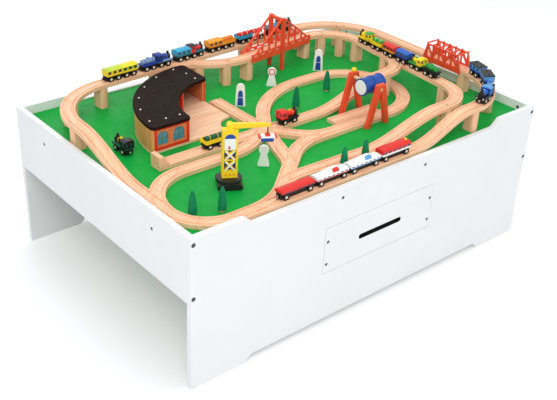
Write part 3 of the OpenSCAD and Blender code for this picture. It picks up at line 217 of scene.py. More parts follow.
def make_floor():
    """A pale floor that takes the shadow, lifted to white where the eye, a mirror or glass sees it."""
    deselect()
    bpy.ops.mesh.primitive_plane_add(size=FLOOR_SIZE, location=(0, 0, 0))
    floor = bpy.context.active_object
    floor.name = "floor"
    made = Finish("pale_floor", roughness=0.6, gloss=0)
    clouds = made.noise(made.place(), scale=2, detail=2)
    made.colour(made.clouded(clouds, *FLOOR_GREYS))
    lift = made.add("Emission")
    lift.inputs["Strength"].default_value = FLOOR_LIFT
    lifted = made.add("AddShader")
    made.link(made.shader.outputs[0], lifted.inputs[0])
    made.link(lift.outputs[0], lifted.inputs[1])
    shown = background_or(made.tree, made.shader, lifted)
    made.link(shown.outputs[0], made.tree.nodes["Material Output"].inputs["Surface"])
    floor.data.materials.append(made.material)


# Finishes

NOISE_LOW = 0.3
NOISE_HIGH = 0.7
COAT_ROUGHNESS = 0.12


def linear(red, green, blue):
    """A colour from its screen values of 0 to 255."""
    def one(value):
        value /= 255
        return value / 12.92 if value <= 0.04045 else ((value + 0.055) / 1.055) ** 2.4
    return (one(red), one(green), one(blue), 1)


def shade(colour, factor):
    return tuple(min(1, c * factor) for c in colour[:3]) + (1,)


class Finish:
    """A material under construction: its tree, its shader and short ways to add nodes."""

    def __init__(self, name, roughness, coat=0.0, gloss=0.25):
        self.material = bpy.data.materials.new(name)
        self.material.use_nodes = True
        self.tree = self.material.node_tree
        self.shader = self.tree.nodes["Principled BSDF"]
        self.shader.inputs["Roughness"].default_value = roughness
        self.shader.inputs["Specular IOR Level"].default_value = gloss
        if coat:
            self.shader.inputs["Coat Weight"].default_value = coat
            self.shader.inputs["Coat Roughness"].default_value = COAT_ROUGHNESS

    def add(self, kind, **settings):
        node = self.tree.nodes.new("ShaderNode" + kind)
        for key, value in settings.items():
            setattr(node, key, value)
        return node

    def link(self, source, target):
        self.tree.links.new(source, target)

    def place(self, scale=(1, 1, 1), source="Object", turn=0):
        """Coordinates for a pattern, stretched and turned by degrees about the upright."""
        where = self.add("TexCoord")
        mapping = self.add("Mapping")
        mapping.inputs["Scale"].default_value = scale
        mapping.inputs["Rotation"].default_value = (0, 0, radians(turn))
        self.link(where.outputs[source], mapping.inputs["Vector"])
        return mapping.outputs["Vector"]

    def noise(self, vector, scale, detail=3, roughness=0.5):
        node = self.add("TexNoise")
        node.inputs["Scale"].default_value = scale
        node.inputs["Detail"].default_value = detail
        node.inputs["Roughness"].default_value = roughness
        self.link(vector, node.inputs["Vector"])
        return node.outputs["Fac"]

    def ramp(self, value, *stops):
        """Colours from pairs of a value and a colour."""
        node = self.add("ValToRGB")
        ends = node.color_ramp.elements
        while len(ends) < len(stops):
            ends.new(0.5)
        for stop, (at, colour) in zip(ends, stops):
            stop.position = at
            stop.color = colour
        self.link(value, node.inputs["Fac"])
        return node.outputs["Color"]

    def clouded(self, noise, low, high):
        return self.ramp(noise, (NOISE_LOW, low), (NOISE_HIGH, high))

    def spread(self, noise, low, high):
        """Numbers from low to high, over the range in which most of a noise lies."""
        node = self.add("MapRange")
        node.inputs["From Min"].default_value = NOISE_LOW
        node.inputs["From Max"].default_value = NOISE_HIGH
        node.inputs["To Min"].default_value = low
        node.inputs["To Max"].default_value = high
        self.link(noise, node.inputs["Value"])
        return node.outputs["Result"]

    def mix(self, share, first, second):
        node = self.add("Mix", data_type="RGBA")
        self.link(share, node.inputs[0])
        self.link(first, node.inputs[6])
        node.inputs[7].default_value = second
        return node.outputs[2]

    def bump(self, height, strength, distance):
        node = self.add("Bump")
        node.inputs["Strength"].default_value = strength
        node.inputs["Distance"].default_value = distance
        self.link(height, node.inputs["Height"])
        self.link(node.outputs["Normal"], self.shader.inputs["Normal"])

    def colour(self, value):
        self.link(value, self.shader.inputs["Base Color"])

    def rough(self, value):
        self.link(value, self.shader.inputs["Roughness"])


def painted(name, colour, roughness=0.42, depth=0.05, coat=0.08, gloss=0.25):
    """Paint on wood: faint clouds in the colour, faint brush marks and an uneven gloss."""
    made = Finish(name, roughness, coat, gloss)
    where = made.place()
    clouds = made.noise(where, scale=38, detail=4)
    made.colour(made.clouded(clouds, shade(colour, 1 - depth), shade(colour, 1 + depth)))
    patches = made.noise(where, scale=160, detail=2)
    made.rough(made.spread(patches, roughness - 0.07, roughness + 0.09))
    made.bump(made.noise(where, scale=620), strength=0.12, distance=0.0006)
    return made.material


def lacquered_panel(name, colour):
    """White lacquer on board: an even coat with orange peel."""
    made = Finish(name, roughness=0.34, coat=0.15)
    where = made.place()
    clouds = made.noise(where, scale=5)
    made.colour(made.clouded(clouds, shade(colour, 0.975), shade(colour, 1.01)))
    made.rough(made.spread(made.noise(where, scale=90, detail=2), 0.29, 0.41))
    made.bump(made.noise(where, scale=420, detail=2), strength=0.1, distance=0.0005)
    return made.material


def green_play_board(name, colour):
    """Printed green board: soft clouds of lighter and darker green under a satin coat."""
    made = Finish(name, roughness=0.55, gloss=0.12)
    where = made.place()
    noise = made.noise(where, scale=7, detail=5, roughness=0.6)
    clouds = made.ramp(noise, (0.32, shade(colour, 0.86)), (0.68, shade(colour, 1.1)))
    specks = made.noise(where, scale=420, detail=2)
    made.colour(made.mix(made.spread(specks, 0, 0.3), clouds, shade(colour, 0.8)))
    made.rough(made.spread(made.noise(where, scale=60, detail=2), 0.42, 0.58))
    made.bump(specks, strength=0.1, distance=0.0004)
    return made.material


def grained(name, pale, dark, source="UV", stretch=(7, 130, 130), turn=0):
    """Clear-finished wood: streaks along the grain and short flecks that show as pores."""
    made = Finish(name, roughness=0.52, coat=0.1)
    where = made.place(stretch, source, turn)
    streaks = made.ramp(made.noise(where, scale=1, detail=6, roughness=0.62), (0.34, dark), (0.66, pale))
    finer = made.place(tuple(5 * along for along in stretch), source, turn)
    flecks = made.noise(finer, scale=1, detail=2)
    share = made.ramp(flecks, (0.6, (0, 0, 0, 1)), (0.74, (0.4, 0.4, 0.4, 1)))
    made.colour(made.mix(share, streaks, shade(dark, 0.78)))
    made.rough(made.spread(flecks, 0.46, 0.62))
    made.bump(flecks, strength=0.14, distance=0.0005)
    return made.material


BRICK = {"Scale": 1, "Mortar Size": 0.0005, "Brick Width": 0.011, "Row Height": 0.0048}


def brick_wall_print(name, pale, dark, joint):
    """Printed brickwork: short courses of two brick colours with pale joints, along either wall."""
    made = Finish(name, roughness=0.5, coat=0.1)
    parts = made.add("SeparateXYZ")
    made.link(made.place(), parts.inputs[0])
    along = made.add("Math", operation="ADD")
    made.link(parts.outputs["X"], along.inputs[0])
    made.link(parts.outputs["Y"], along.inputs[1])
    flat = made.add("CombineXYZ")
    made.link(along.outputs[0], flat.inputs["X"])
    made.link(parts.outputs["Z"], flat.inputs["Y"])
    courses = made.add("TexBrick")
    made.link(flat.outputs[0], courses.inputs["Vector"])
    for socket, value in {"Color1": pale, "Color2": dark, "Mortar": joint, **BRICK}.items():
        courses.inputs[socket].default_value = value
    specks = made.noise(made.place(), scale=700)
    made.colour(made.mix(made.spread(specks, 0, 0.25), courses.outputs["Color"], shade(dark, 0.7)))
    made.rough(made.spread(specks, 0.44, 0.58))
    made.bump(courses.outputs["Fac"], strength=0.3, distance=-0.0004)
    return made.material


def steel(name, colour):
    """Plated steel with turning marks."""
    made = Finish(name, roughness=0.36, gloss=0.5)
    made.shader.inputs["Metallic"].default_value = 0.85
    marks = made.noise(made.place(), scale=900)
    made.colour(made.clouded(marks, shade(colour, 0.75), shade(colour, 1.2)))
    made.rough(made.spread(marks, 0.28, 0.48))
    made.bump(marks, strength=0.12, distance=0.0003)
    return made.material


WHITE = linear(238, 239, 240)
GREEN = linear(6, 164, 62)
BEECH_PALE = linear(249, 205, 169)
BEECH_DARK = linear(233, 175, 135)
PINE_PALE = linear(236, 205, 160)
PINE_DARK = linear(214, 172, 120)
PLY_PALE = linear(238, 176, 106)
PLY_DARK = linear(206, 138, 76)
BRICK_PALE = linear(222, 122, 62)
BRICK_DARK = linear(204, 88, 48)
BRICK_JOINT = linear(240, 178, 120)
RED = linear(226, 52, 34)
ORANGE_RED = linear(236, 82, 46)
YELLOW = linear(250, 212, 36)
BLUE = linear(26, 74, 158)
BLACK = linear(30, 28, 28)
BROWN = linear(32, 20, 14)
TREE = linear(20, 126, 82)
PANE_TEAL = linear(74, 142, 164)
PANE_DARK = linear(44, 58, 76)
FRAME_GREEN = linear(84, 128, 88)
PLASTIC_WHITE = linear(244, 244, 242)
HUB_CREAM = linear(238, 224, 200)
STEEL_DARK = linear(96, 98, 102)
STEEL_PALE = linear(206, 204, 200)

white_lacquer = lacquered_panel("white_lacquer", WHITE)
green_board = green_play_board("green_board", GREEN)
beech_track = grained("beech_track", BEECH_PALE, BEECH_DARK)
beech_block = grained("beech_block", BEECH_PALE, BEECH_DARK, "Object", stretch=(120, 120, 9))
beech_floor = grained("beech_floor", BEECH_PALE, BEECH_DARK, "Object", stretch=(7, 110, 110), turn=45)
pine_along_x = grained("pine_along_x", PINE_PALE, PINE_DARK, "Object", stretch=(6, 90, 90))
pine_along_y = grained("pine_along_y", PINE_PALE, PINE_DARK, "Object", stretch=(90, 6, 90))
warm_ply = grained("warm_ply", PLY_PALE, PLY_DARK, "Object", stretch=(60, 60, 8))
dark_steel = steel("dark_steel", STEEL_DARK)
bridge_red = painted("bridge_red", ORANGE_RED)
shed_brown = painted("shed_brown", BROWN, roughness=0.66, depth=0.18, coat=0, gloss=0.06)
shed_red = painted("shed_red", RED)
window_teal = painted("window_teal", PANE_TEAL, roughness=0.2, depth=0.28, coat=0.3, gloss=0.4)
frame_green = painted("frame_green", FRAME_GREEN)
crane_yellow = painted("crane_yellow", YELLOW)
black_plastic = painted("black_plastic", BLACK, depth=0.12)
drum_blue = painted("drum_blue", BLUE)
white_plastic = painted("white_plastic", PLASTIC_WHITE, roughness=0.35, depth=0.02)
tree_green = painted("tree_green", TREE, roughness=0.6, depth=0.16, coat=0, gloss=0.12)
wheel_black = painted("wheel_black", BLACK, roughness=0.4, depth=0.15)
brick_wall = brick_wall_print("brick_wall", BRICK_PALE, BRICK_DARK, BRICK_JOINT)
steel_pale = steel("steel_pale", STEEL_PALE)
hub_cream = painted("hub_cream", HUB_CREAM, roughness=0.4, depth=0.04)
pane_dark = painted("pane_dark", PANE_DARK, roughness=0.16, depth=0.1, coat=0.3, gloss=0.4)

TRAIN_COLOURS = {
    "yellow": (250, 214, 40), "lime": (186, 208, 52), "slate": (126, 152, 190), "navy": (30, 56, 140),
    "cyan": (52, 160, 200), "teal": (40, 120, 136), "red": (222, 44, 36), "black": (24, 22, 24),
    "orange": (244, 160, 40), "amber": (226, 130, 44), "white": (240, 240, 238), "forest": (20, 84, 62),
    "green": (44, 158, 70), "blue": (34, 92, 186), "sky": (92, 156, 214),
}
TRAIN_PAINTS = {
    name: painted("train_" + name, linear(*colour)) for name, colour in TRAIN_COLOURS.items()}

# Cars are modelled in these four, which give way to a train's own paints
first_paint, second_paint, third_paint, band_paint = (
    painted(name, WHITE) for name in ("first", "second", "third", "band"))

NODE_FINISHES = {
    green_board: "play_board",
    pine_along_x: "long_cleats drawer_back drawer_floor_panel",
    pine_along_y: "end_cleats drawer_runners drawer_left_side drawer_right_side runner_dowels gantry_shaft",
    dark_steel: "barrel_nuts",
}


def finish_nodes():
    for finish, names in NODE_FINISHES.items():
        for name in names.split():
            for slot in frame["nodes"][name].material_slots:
                slot.material = finish


# Workbench: pieces are made in millimetres, and their place goes into their mesh

X = Vector((1, 0, 0))
Y = Vector((0, 1, 0))
Z = Vector((0, 0, 1))
AXIS_TURNS = {"X": (0, pi / 2, 0), "Y": (-pi / 2, 0, 0), "Z": (0, 0, 0)}
FACING = 0.9


def on_top(spot, normal):
    return normal.z > FACING


def on_ends(spot, normal):
    return abs(normal.x) > FACING


def on_front(spot, normal):
    return normal.y < -FACING


def block(x, y, z):
    """A box over three spans."""
    deselect()
    low = Vector((x[0], y[0], z[0])) * MM
    high = Vector((x[1], y[1], z[1])) * MM
    bpy.ops.mesh.primitive_cube_add(size=1, location=(low + high) / 2, scale=high - low)
    bpy.ops.object.transform_apply()
    return bpy.context.active_object


def rod(radius, middle, length, axis="Z", sides=24):
    """A round bar about its middle."""
    deselect()
    bpy.ops.mesh.primitive_cylinder_add(
        vertices=sides, radius=radius * MM, depth=length * MM,
        location=Vector(middle) * MM, rotation=AXIS_TURNS[axis])
    bpy.ops.object.transform_apply()
    return bpy.context.active_object


def turned(profile, x=0, y=0, sides=24):
    """A round upright piece, drawn up ring by ring through pairs of radius and height."""
    radius, height = profile[0]
    deselect()
    bpy.ops.mesh.primitive_circle_add(
        vertices=sides, radius=radius * MM, fill_type="NGON", location=(x * MM, y * MM, height * MM))
    bpy.ops.object.transform_apply()
    piece = bpy.context.active_object
    edit(piece)
    for wider, higher in profile[1:]:
        bpy.ops.mesh.extrude_region_move(
            TRANSFORM_OT_translate={"value": (0, 0, (higher - height) * MM)})
        bpy.ops.transform.resize(
            value=(wider / radius, wider / radius, 1), center_override=(x * MM, y * MM, higher * MM))
        radius, height = wider, higher
    bpy.ops.mesh.select_all(action="SELECT")
    bpy.ops.mesh.normals_make_consistent(inside=False)
    leave()
    return piece


def faces(piece, chosen):
    """Opens a piece in edit mode with the faces selected whose middle and normal pass a test."""
    edit(piece)
    bpy.ops.mesh.select_mode(type="FACE")
    bpy.ops.mesh.select_all(action="DESELECT")
    leave()
    for face in piece.data.polygons:
        face.select = chosen(face.center / MM, face.normal)
    bpy.ops.object.mode_set(mode="EDIT")


def cut(piece, normal, *places):
    """Cuts new edges round a piece, where planes across one direction meet it."""
    edit(piece)
    for place in places:
        bpy.ops.mesh.select_all(action="SELECT")
        bpy.ops.mesh.bisect(plane_co=normal * place * MM, plane_no=normal)
    leave()


def paint(piece, finish, chosen=None):
    """Paints a whole piece, or the faces of it that pass a test."""
    piece.data.materials.append(finish)
    for face in piece.data.polygons:
        if chosen and chosen(face.center / MM, face.normal):
            face.material_index = len(piece.data.materials) - 1
    return piece


def sink(piece, chosen, rim, depth, finish=None):
    """Insets the chosen faces one by one, pushes them in and paints them."""
    faces(piece, chosen)
    bpy.ops.mesh.inset(thickness=rim * MM, depth=-depth * MM, use_individual=True)
    if finish:
        piece.data.materials.append(finish)
        piece.active_material_index = len(piece.data.materials) - 1
        bpy.ops.object.material_slot_assign()
    leave()


def cut_off_below(piece, height):
    """Makes a level cut through a piece and keeps what is above it."""
    edit(piece)
    bpy.ops.mesh.bisect(plane_co=Z * height * MM, plane_no=Z, clear_inner=True, use_fill=True)
    leave()


def narrow_top(piece, along, across=1, middle=0):
    """Draws the top of a piece together by a share each way, about a place along X."""
    faces(piece, on_top)
    bpy.ops.transform.resize(value=(along, across, 1), center_override=(middle * MM, 0, 0))
    leave()


def joined(name, pieces):
    whole = pieces[0]
    pick(whole)
    for piece in pieces:
        piece.select_set(True)
    if len(pieces) > 1:
        bpy.ops.object.join()
    whole.name = name
    return whole


def at(x, y, z, turn=0):
    """A place in millimetres, turned by degrees about the upright."""
    return Matrix.Translation(Vector((x, y, z)) * MM) @ Matrix.Rotation(radians(turn), 4, "Z")


def set_down(piece, place):
    """Puts a piece that was made at the origin at its place."""
    pick(piece)
    piece.matrix_world = place
    bpy.ops.object.transform_apply()
    return piece


def copy_of(piece, place):
    """A copy with its own mesh, set down at a place."""
    pick(piece)
    bpy.ops.object.duplicate()
    return set_down(bpy.context.active_object, place)


def copies_of(piece, places):
    """A copy at each place, and none left at the origin."""
    copies = [copy_of(piece, place) for place in places]
    bpy.data.objects.remove(piece)
    return copies


# Pieces that follow a CAD node

MERGE = 0.01 * MM
FLAT_ANGLE = radians(0.5)
GRAIN_SHIFT_ALONG = 9
GRAIN_SHIFT_ACROSS = 7
NODE_SLOTS = {part["node"]: part["material_slot"] for part in frame["record"]["subparts"]}


def loose_copies(node, flatten=True):
    """The solids of a node, each as a merged copy, with large faces on its flat sides where asked."""
    source = frame["nodes"][node]
    piece = bpy.data.objects.new(node, source.data.copy())
    scene.collection.objects.link(piece)
    pick(piece)
    bpy.ops.mesh.customdata_custom_splitnormals_clear()
    edit(piece)
    bpy.ops.mesh.remove_doubles(threshold=MERGE)
    if flatten:
        bpy.ops.mesh.dissolve_limited(angle_limit=FLAT_ANGLE)
        bpy.ops.mesh.select_all(action="SELECT")
    bpy.ops.mesh.separate(type="LOOSE")
    leave()
    return list(bpy.context.selected_objects)


def middle_of(piece):
    corners = np.array([v.co for v in piece.data.vertices])
    return Vector((corners.min(0) + corners.max(0)) / 2)


def middles(node):
    """The middle of each solid of a node."""
    copies = loose_copies(node)
    found = [middle_of(piece) for piece in copies]
    for piece in copies:
        bpy.data.objects.remove(piece)
    return found


def lay_grain(piece):
    """Lays u along a piece of track and v across and down it, in another part of the wood each time."""
    mesh = piece.data
    points = np.array([v.co for v in mesh.vertices])
    middle = points.mean(0)
    flat = (points - middle)[:, :2]
    across, along = np.linalg.eigh(np.cov(flat.T))[1].T
    u = flat @ along + GRAIN_SHIFT_ALONG * middle[0]
    v = flat @ across + points[:, 2] + GRAIN_SHIFT_ACROSS * middle[1]
    layer = mesh.uv_layers.new(name="grain")
    for loop, spot in zip(mesh.loops, layer.data):
        spot.uv = (u[loop.vertex_index], v[loop.vertex_index])


def softened(node, finish, width, body="table", grain=False, flatten=True, shortest=0):
    """Stands for a node with a copy whose edges are rounded."""
    pieces = loose_copies(node, flatten)
    for piece in pieces:
        while piece.data.uv_layers:
            piece.data.uv_layers.remove(piece.data.uv_layers[0])
        piece.data.materials.clear()
        paint(piece, finish)
        if grain:
            lay_grain(piece)
    whole = joined("soft_" + node, pieces)
    soften(whole, width, shortest=shortest)
    return put_on(whole, body, NODE_SLOTS[node], node)


# Table

PANEL_ROUNDING = 1.6
DRAWER_ROUNDING = 1.4
HOLE_EDGE = 1.2
SCREW_HOLE_EDGE = 0.75
SLOT_HALF_LENGTH = 78
SLOT_HALF_HEIGHT = 7
SLOT_MARGIN = 1
HEAD_ROUNDING = 0.5
HEAD_FACING = 0.99
HEAD_REACH = 0.3
BOLT_RIM = 3
SCREW_RIM = 2.4
SOCKET_DEPTH = 1.4


def make_drawer_front():
    """A white front with the walls of its hand slot painted black as painted shade."""
    low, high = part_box("drawer_front")
    middle = (low + high) / 2 / MM
    front = softened("drawer_front", white_lacquer, DRAWER_ROUNDING, "drawer", shortest=SCREW_HOLE_EDGE)

    def slot_walls_painted_shade(spot, normal):
        beside = abs(spot.x - middle.x) < SLOT_HALF_LENGTH + SLOT_MARGIN
        level = abs(spot.z - middle.z) < SLOT_HALF_HEIGHT + SLOT_MARGIN
        return beside and level and abs(normal.y) < FACING
    # the walls of the hand slot are painted black: painted shade for the dark inside of the slot
    paint(front, black_plastic, slot_walls_painted_shade)


def make_heads(node, rim, body="table", ends=False):
    """Bolts or screws with a sunk socket in each head, in the long faces and where asked in the ends; the
    sockets are painted black as painted shade.
    """
    heads = softened(node, dark_steel, HEAD_ROUNDING, body)
    low, high = (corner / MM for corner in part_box(node))

    def on_head(spot, normal):
        outside_y = not low.y + HEAD_REACH < spot.y < high.y - HEAD_REACH
        outside_x = not low.x + HEAD_REACH < spot.x < high.x - HEAD_REACH
        in_long_face = abs(normal.y) > HEAD_FACING and outside_y
        in_end = abs(normal.x) > HEAD_FACING and outside_x
        return in_long_face or (ends and in_end)
    # the sunk sockets are painted black: painted shade in the recess of each head
    sink(heads, on_head, rim, SOCKET_DEPTH, black_plastic)


def make_table():
    for node in ("front_panel", "rear_panel", "left_apron", "right_apron"):
        softened(node, white_lacquer, PANEL_ROUNDING, shortest=HOLE_EDGE)
    make_drawer_front()
    make_heads("corner_bolts", BOLT_RIM)
    make_heads("panel_screws", SCREW_RIM, ends=True)
    make_heads("drawer_screws", SCREW_RIM, "drawer")


# Track and bridges

TRACK_ROUNDING = {"ground_track": 0.7, "raised_track": 0.7, "ramp_track": 0.7, "switch_track": 0.25}
BLOCK_ROUNDING = 1
BRIDGE_ROUNDING = {"bridge_girders": 0.9, "bridge_tower": 1, "bridge_cables": 0.7}
TRUSS_ROUNDING = 0.6


def make_track():
    for node, rounding in TRACK_ROUNDING.items():
        softened(node, beech_track, rounding, grain=True)
    for node in ("track_piers", "buffer_stop"):
        softened(node, beech_block, BLOCK_ROUNDING)


def make_bridges():
    for node, rounding in BRIDGE_ROUNDING.items():
        softened(node, bridge_red, rounding)
    softened("truss_bridge", bridge_red, TRUSS_ROUNDING, flatten=False)


# Engine shed

SHED_RADIUS = 296
SHED_DEPTH = 114
SHED_WALL = 8
SHED_SKINS = {
    "shed_base": (beech_floor, 1),
    "shed_end_walls": (brick_wall, 0.6),
    "shed_back_wall": (warm_ply, 0.6),
    "shed_posts": (shed_red, 0.8),
    "shed_windows": (window_teal, 0.4),
    "shed_roof": (shed_brown, 2.2),
}
STUD = [(2.8, 0), (2.8, 0.7), (2.2, 1.6), (1, 2)]
RIM_STUDS = [(283, angle) for angle in range(98, 180, 15)]
END_STUDS = [(238, 96), (238, 174), (196, 97), (196, 173)]
STRIP_WIDTH = 7
STRIP_OVERLAP = 1
STRIP_DEPTHS = (-1.2, 3)
BEAM_DEPTHS = (-1, 3)
PLINTH_HEIGHT = 9
BEAM_HEIGHT = 5
STRIP_ROUNDING = 0.5
BAR_HALF_WIDTH = 1
BAR_HALF_HEIGHT = 18
BAR_HALF_LENGTH = 16
BAR_DROP = 2
UPRIGHT_BAR_PROUD = 2.6
LEVEL_BAR_PROUD = 2.4
BAR_ROUNDING = 0.3


def shed_place():
    """The middle of the shed's arcs on the board."""
    low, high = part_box("shed_base")
    return low.x / MM + SHED_RADIUS, high.y / MM - SHED_RADIUS


def make_roof_studs():
    x, y = shed_place()
    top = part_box("shed_roof")[1].z / MM
    stud = paint(turned(STUD, sides=12), steel_pale)
    places = [
        at(x + r * cos(radians(a)), y + r * sin(radians(a)), top) for r, a in RIM_STUDS + END_STUDS]
    put_on(joined("roof_studs", copies_of(stud, places)), "table", "dark_steel")


def wall_trim(length, height):
    """Corner strips, a plinth and a beam on a wall that runs along X, standing proud of it."""
    near = STRIP_WIDTH
    far = length - STRIP_WIDTH
    strips = [
        block((-STRIP_OVERLAP, near), STRIP_DEPTHS, (0, height)),
        block((far, length + STRIP_OVERLAP), STRIP_DEPTHS, (0, height)),
        block((near, far), BEAM_DEPTHS, (0, PLINTH_HEIGHT)),
        block((near, far), BEAM_DEPTHS, (height - BEAM_HEIGHT, height)),
    ]
    for strip in strips:
        soften(paint(strip, shed_red), STRIP_ROUNDING)
    return joined("wall_trim", strips)


def make_wall_trims():
    x, y = shed_place()
    low, high = (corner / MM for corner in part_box("shed_end_walls"))
    trim = wall_trim(SHED_DEPTH - SHED_WALL, high.z - low.z)
    front = at(x - SHED_RADIUS + SHED_WALL, y, low.z)
    side = at(x, y + SHED_RADIUS - SHED_DEPTH, low.z, 90)
    put_on(joined("shed_wall_trims", copies_of(trim, [front, side])), "table", "shed_red")


def make_window_bars():
    """A cross of bars over each pane."""
    bars = []
    for middle in middles("shed_windows"):
        x, y, z = middle / MM
        upright = (z - BAR_HALF_HEIGHT, z + BAR_HALF_HEIGHT)
        level = (x - BAR_HALF_LENGTH, x + BAR_HALF_LENGTH)
        drop = z - BAR_DROP
        bars.append(block((x - BAR_HALF_WIDTH, x + BAR_HALF_WIDTH), (y - UPRIGHT_BAR_PROUD, y), upright))
        bars.append(block(level, (y - LEVEL_BAR_PROUD, y), (drop - BAR_HALF_WIDTH, drop + BAR_HALF_WIDTH)))
    for bar in bars:
        soften(paint(bar, frame_green), BAR_ROUNDING)
    put_on(joined("window_bars", bars), "table", "shed_red")


def make_shed():
    for node, (finish, rounding) in SHED_SKINS.items():
        softened(node, finish, rounding)
    make_roof_studs()
    make_wall_trims()
    make_window_bars()


# Crane, with its front along -Y and heights from the board; the load's heights are from the arm's tip

CRANE_TURN = -30
TOWER_HALF_DEPTH = 11
BASE_ROUNDING = 1.2
TOWER_ROUNDING = 0.6
ARM_ROUNDING = 0.8
SKIN_FRONT = -TOWER_HALF_DEPTH - 0.6
SKIN_DEPTHS = (SKIN_FRONT, -10.6)
SKIN_HALF_WIDTH = 13.8
SKIN_ROUNDING = 0.4
LATTICE_DEPTHS = (-3, 3)
LATTICE_HEIGHTS = (45.5, 101)
LATTICE_ROWS = (57.5, 85.5)
CROSS_BAR = (-17.4, 17.4)
CROSS_BAR_WIDTH = (-1.6, 1.6)
CROSS_STEP = 0.1
PLATE_HEIGHTS = (101, 131)
PANE_MIDDLE = 129
PANE_THICKNESS = 1.6
PEG_WIDTH = (-5, 1)
PEG_DEPTHS = (SKIN_FRONT - 0.8, SKIN_FRONT + 0.4)
PEG_HEIGHTS = (104, 113)
PEG_TOP_SHARE = 0.3
SMALL_ROUNDING = 0.3
LAMP_RADIUS = 2.8
LAMP_PLACES = (-10, 0, 10)
LAMP_HEIGHT = 34
LAMP_THICKNESS = 1.6
LAMP_ROUNDING = 0.5
EYE_RADIUS = 4
EYE_WIDTH = 4
HANGER_RADIUS = 1.5
HANGER_LENGTH = 28
MAGNET = ((-6, 6), (-6, 6), (-33, -28))
PLANK = ((-22, 22), (-9, 9), (-37, -33))
PLANK_ENDS = [(x, (-9.4, 9.4), (-37.4, -32.6)) for x in ((-22.6, -17), (17, 22.6))]
LOAD_DRUM_RADIUS = 6.4
LOAD_DRUM_LENGTH = 30
LOAD_DRUM_DROP = 43.6


def crane_place():
    """The crane's upright axis where it stands on the board."""
    low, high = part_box("crane_base")
    middle = (low + high) / 2 / MM
    return at(middle.x, middle.y, low.z / MM, CRANE_TURN)


def make_cross_bars():
    """Two crosses, with one bar of each a little in front of the other."""
    bar = soften(paint(block(CROSS_BAR, SKIN_DEPTHS, CROSS_BAR_WIDTH), white_plastic), SMALL_ROUNDING)
    places = [
        at(0, CROSS_STEP * lean, height) @ Matrix.Rotation(lean, 4, "Y")
        for height in LATTICE_ROWS for lean in (-pi / 4, pi / 4)]
    return copies_of(bar, places)


def make_crane_panels():
    """White crosses on a dark back, a white plate with a red peg, a round-topped pane and lamps."""
    wide = (-SKIN_HALF_WIDTH, SKIN_HALF_WIDTH)
    back = paint(block(wide, LATTICE_DEPTHS, LATTICE_HEIGHTS), TRAIN_PAINTS["navy"])
    plate = paint(block(wide, SKIN_DEPTHS, PLATE_HEIGHTS), white_plastic)
    middle = (0, SKIN_FRONT + PANE_THICKNESS / 2, PANE_MIDDLE)
    pane = paint(rod(SKIN_HALF_WIDTH, middle, PANE_THICKNESS, "Y", sides=48), drum_blue)
    cut_off_below(pane, PLATE_HEIGHTS[1])
    parts = [soften(part, SKIN_ROUNDING) for part in (back, plate, pane)]
    peg = paint(block(PEG_WIDTH, PEG_DEPTHS, PEG_HEIGHTS), shed_red)
    narrow_top(peg, PEG_TOP_SHARE, middle=sum(PEG_WIDTH) / 2)
    parts.append(soften(peg, SMALL_ROUNDING))
    parts += make_cross_bars()
    for x in LAMP_PLACES:
        lamp = rod(LAMP_RADIUS, (x, -TOWER_HALF_DEPTH, LAMP_HEIGHT), LAMP_THICKNESS, "Y", sides=20)
        parts.append(soften(paint(lamp, TRAIN_PAINTS["orange"]), LAMP_ROUNDING))
    panels = set_down(joined("crane_panels", parts), crane_place())
    put_on(panels, "crane_tower", "window_blue", "crane_window")


def make_crane_load():
    """Eye, hanger, magnet block, a plank with red ends and a drum that hang from the tip of the arm."""
    low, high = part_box("crane_hook")
    middle = (low + high) / 2 / MM
    eye = soften(paint(rod(EYE_RADIUS, (0, 0, -EYE_RADIUS), EYE_WIDTH, "Y"), steel_pale), width=0.6)
    hanger = rod(HANGER_RADIUS, (0, 0, -EYE_RADIUS - HANGER_LENGTH / 2), HANGER_LENGTH, sides=16)
    soften(paint(hanger, black_plastic), SMALL_ROUNDING)
    magnet = soften(paint(block(*MAGNET), shed_red), width=1)
    plank = soften(paint(block(*PLANK), white_plastic), width=0.8)
    ends = [soften(paint(block(*spans), shed_red), width=0.6) for spans in PLANK_ENDS]
    drum = rod(LOAD_DRUM_RADIUS, (0, 0, -LOAD_DRUM_DROP), LOAD_DRUM_LENGTH, "X", sides=32)
    sink(paint(drum, drum_blue), on_ends, rim=1.2, depth=1)
    soften(drum, width=0.7)
    load = joined("crane_load", [eye, hanger, magnet, plank, *ends, drum])
    set_down(load, at(middle.x, middle.y, high.z / MM, CRANE_TURN))
    put_on(load, "crane_load", "drum_blue", "crane_hook")


def make_crane():
    softened("crane_base", black_plastic, BASE_ROUNDING)
    softened("crane_tower", crane_yellow, TOWER_ROUNDING, "crane_tower", flatten=False)
    softened("crane_arm", crane_yellow, ARM_ROUNDING, "crane_arm")
    make_crane_panels()
    make_crane_load()


# Tipping gantry

FRAME_ROUNDING = 1.4
TANK_ROUNDING = 0.7
TANK_END_ROUNDING = 0.8
KNOB = [(4, 0), (4, 2), (7, 4), (7.6, 7), (6.4, 10), (3.4, 12), (1, 12.4)]
KNOB_ROUNDING = 0.4
KNOB_INSET = 6


def make_gantry():
    """Red frames with a yellow knob on the rear one, and a tank with white ends."""
    softened("gantry_frames", bridge_red, FRAME_ROUNDING)
    softened("gantry_drum", drum_blue, TANK_ROUNDING, "tank")
    softened("drum_ends", white_plastic, TANK_END_ROUNDING, "tank")
    low, high = (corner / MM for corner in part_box("gantry_frames"))
    knob = paint(turned(KNOB), crane_yellow)
    set_down(knob, at((low.x + high.x) / 2, high.y - KNOB_INSET, high.z))
    knob.name = "gantry_knob"
    put_on(soften(knob, KNOB_ROUNDING), "table", "crane_yellow")


# Trees, figures and signs, with their fronts along -Y

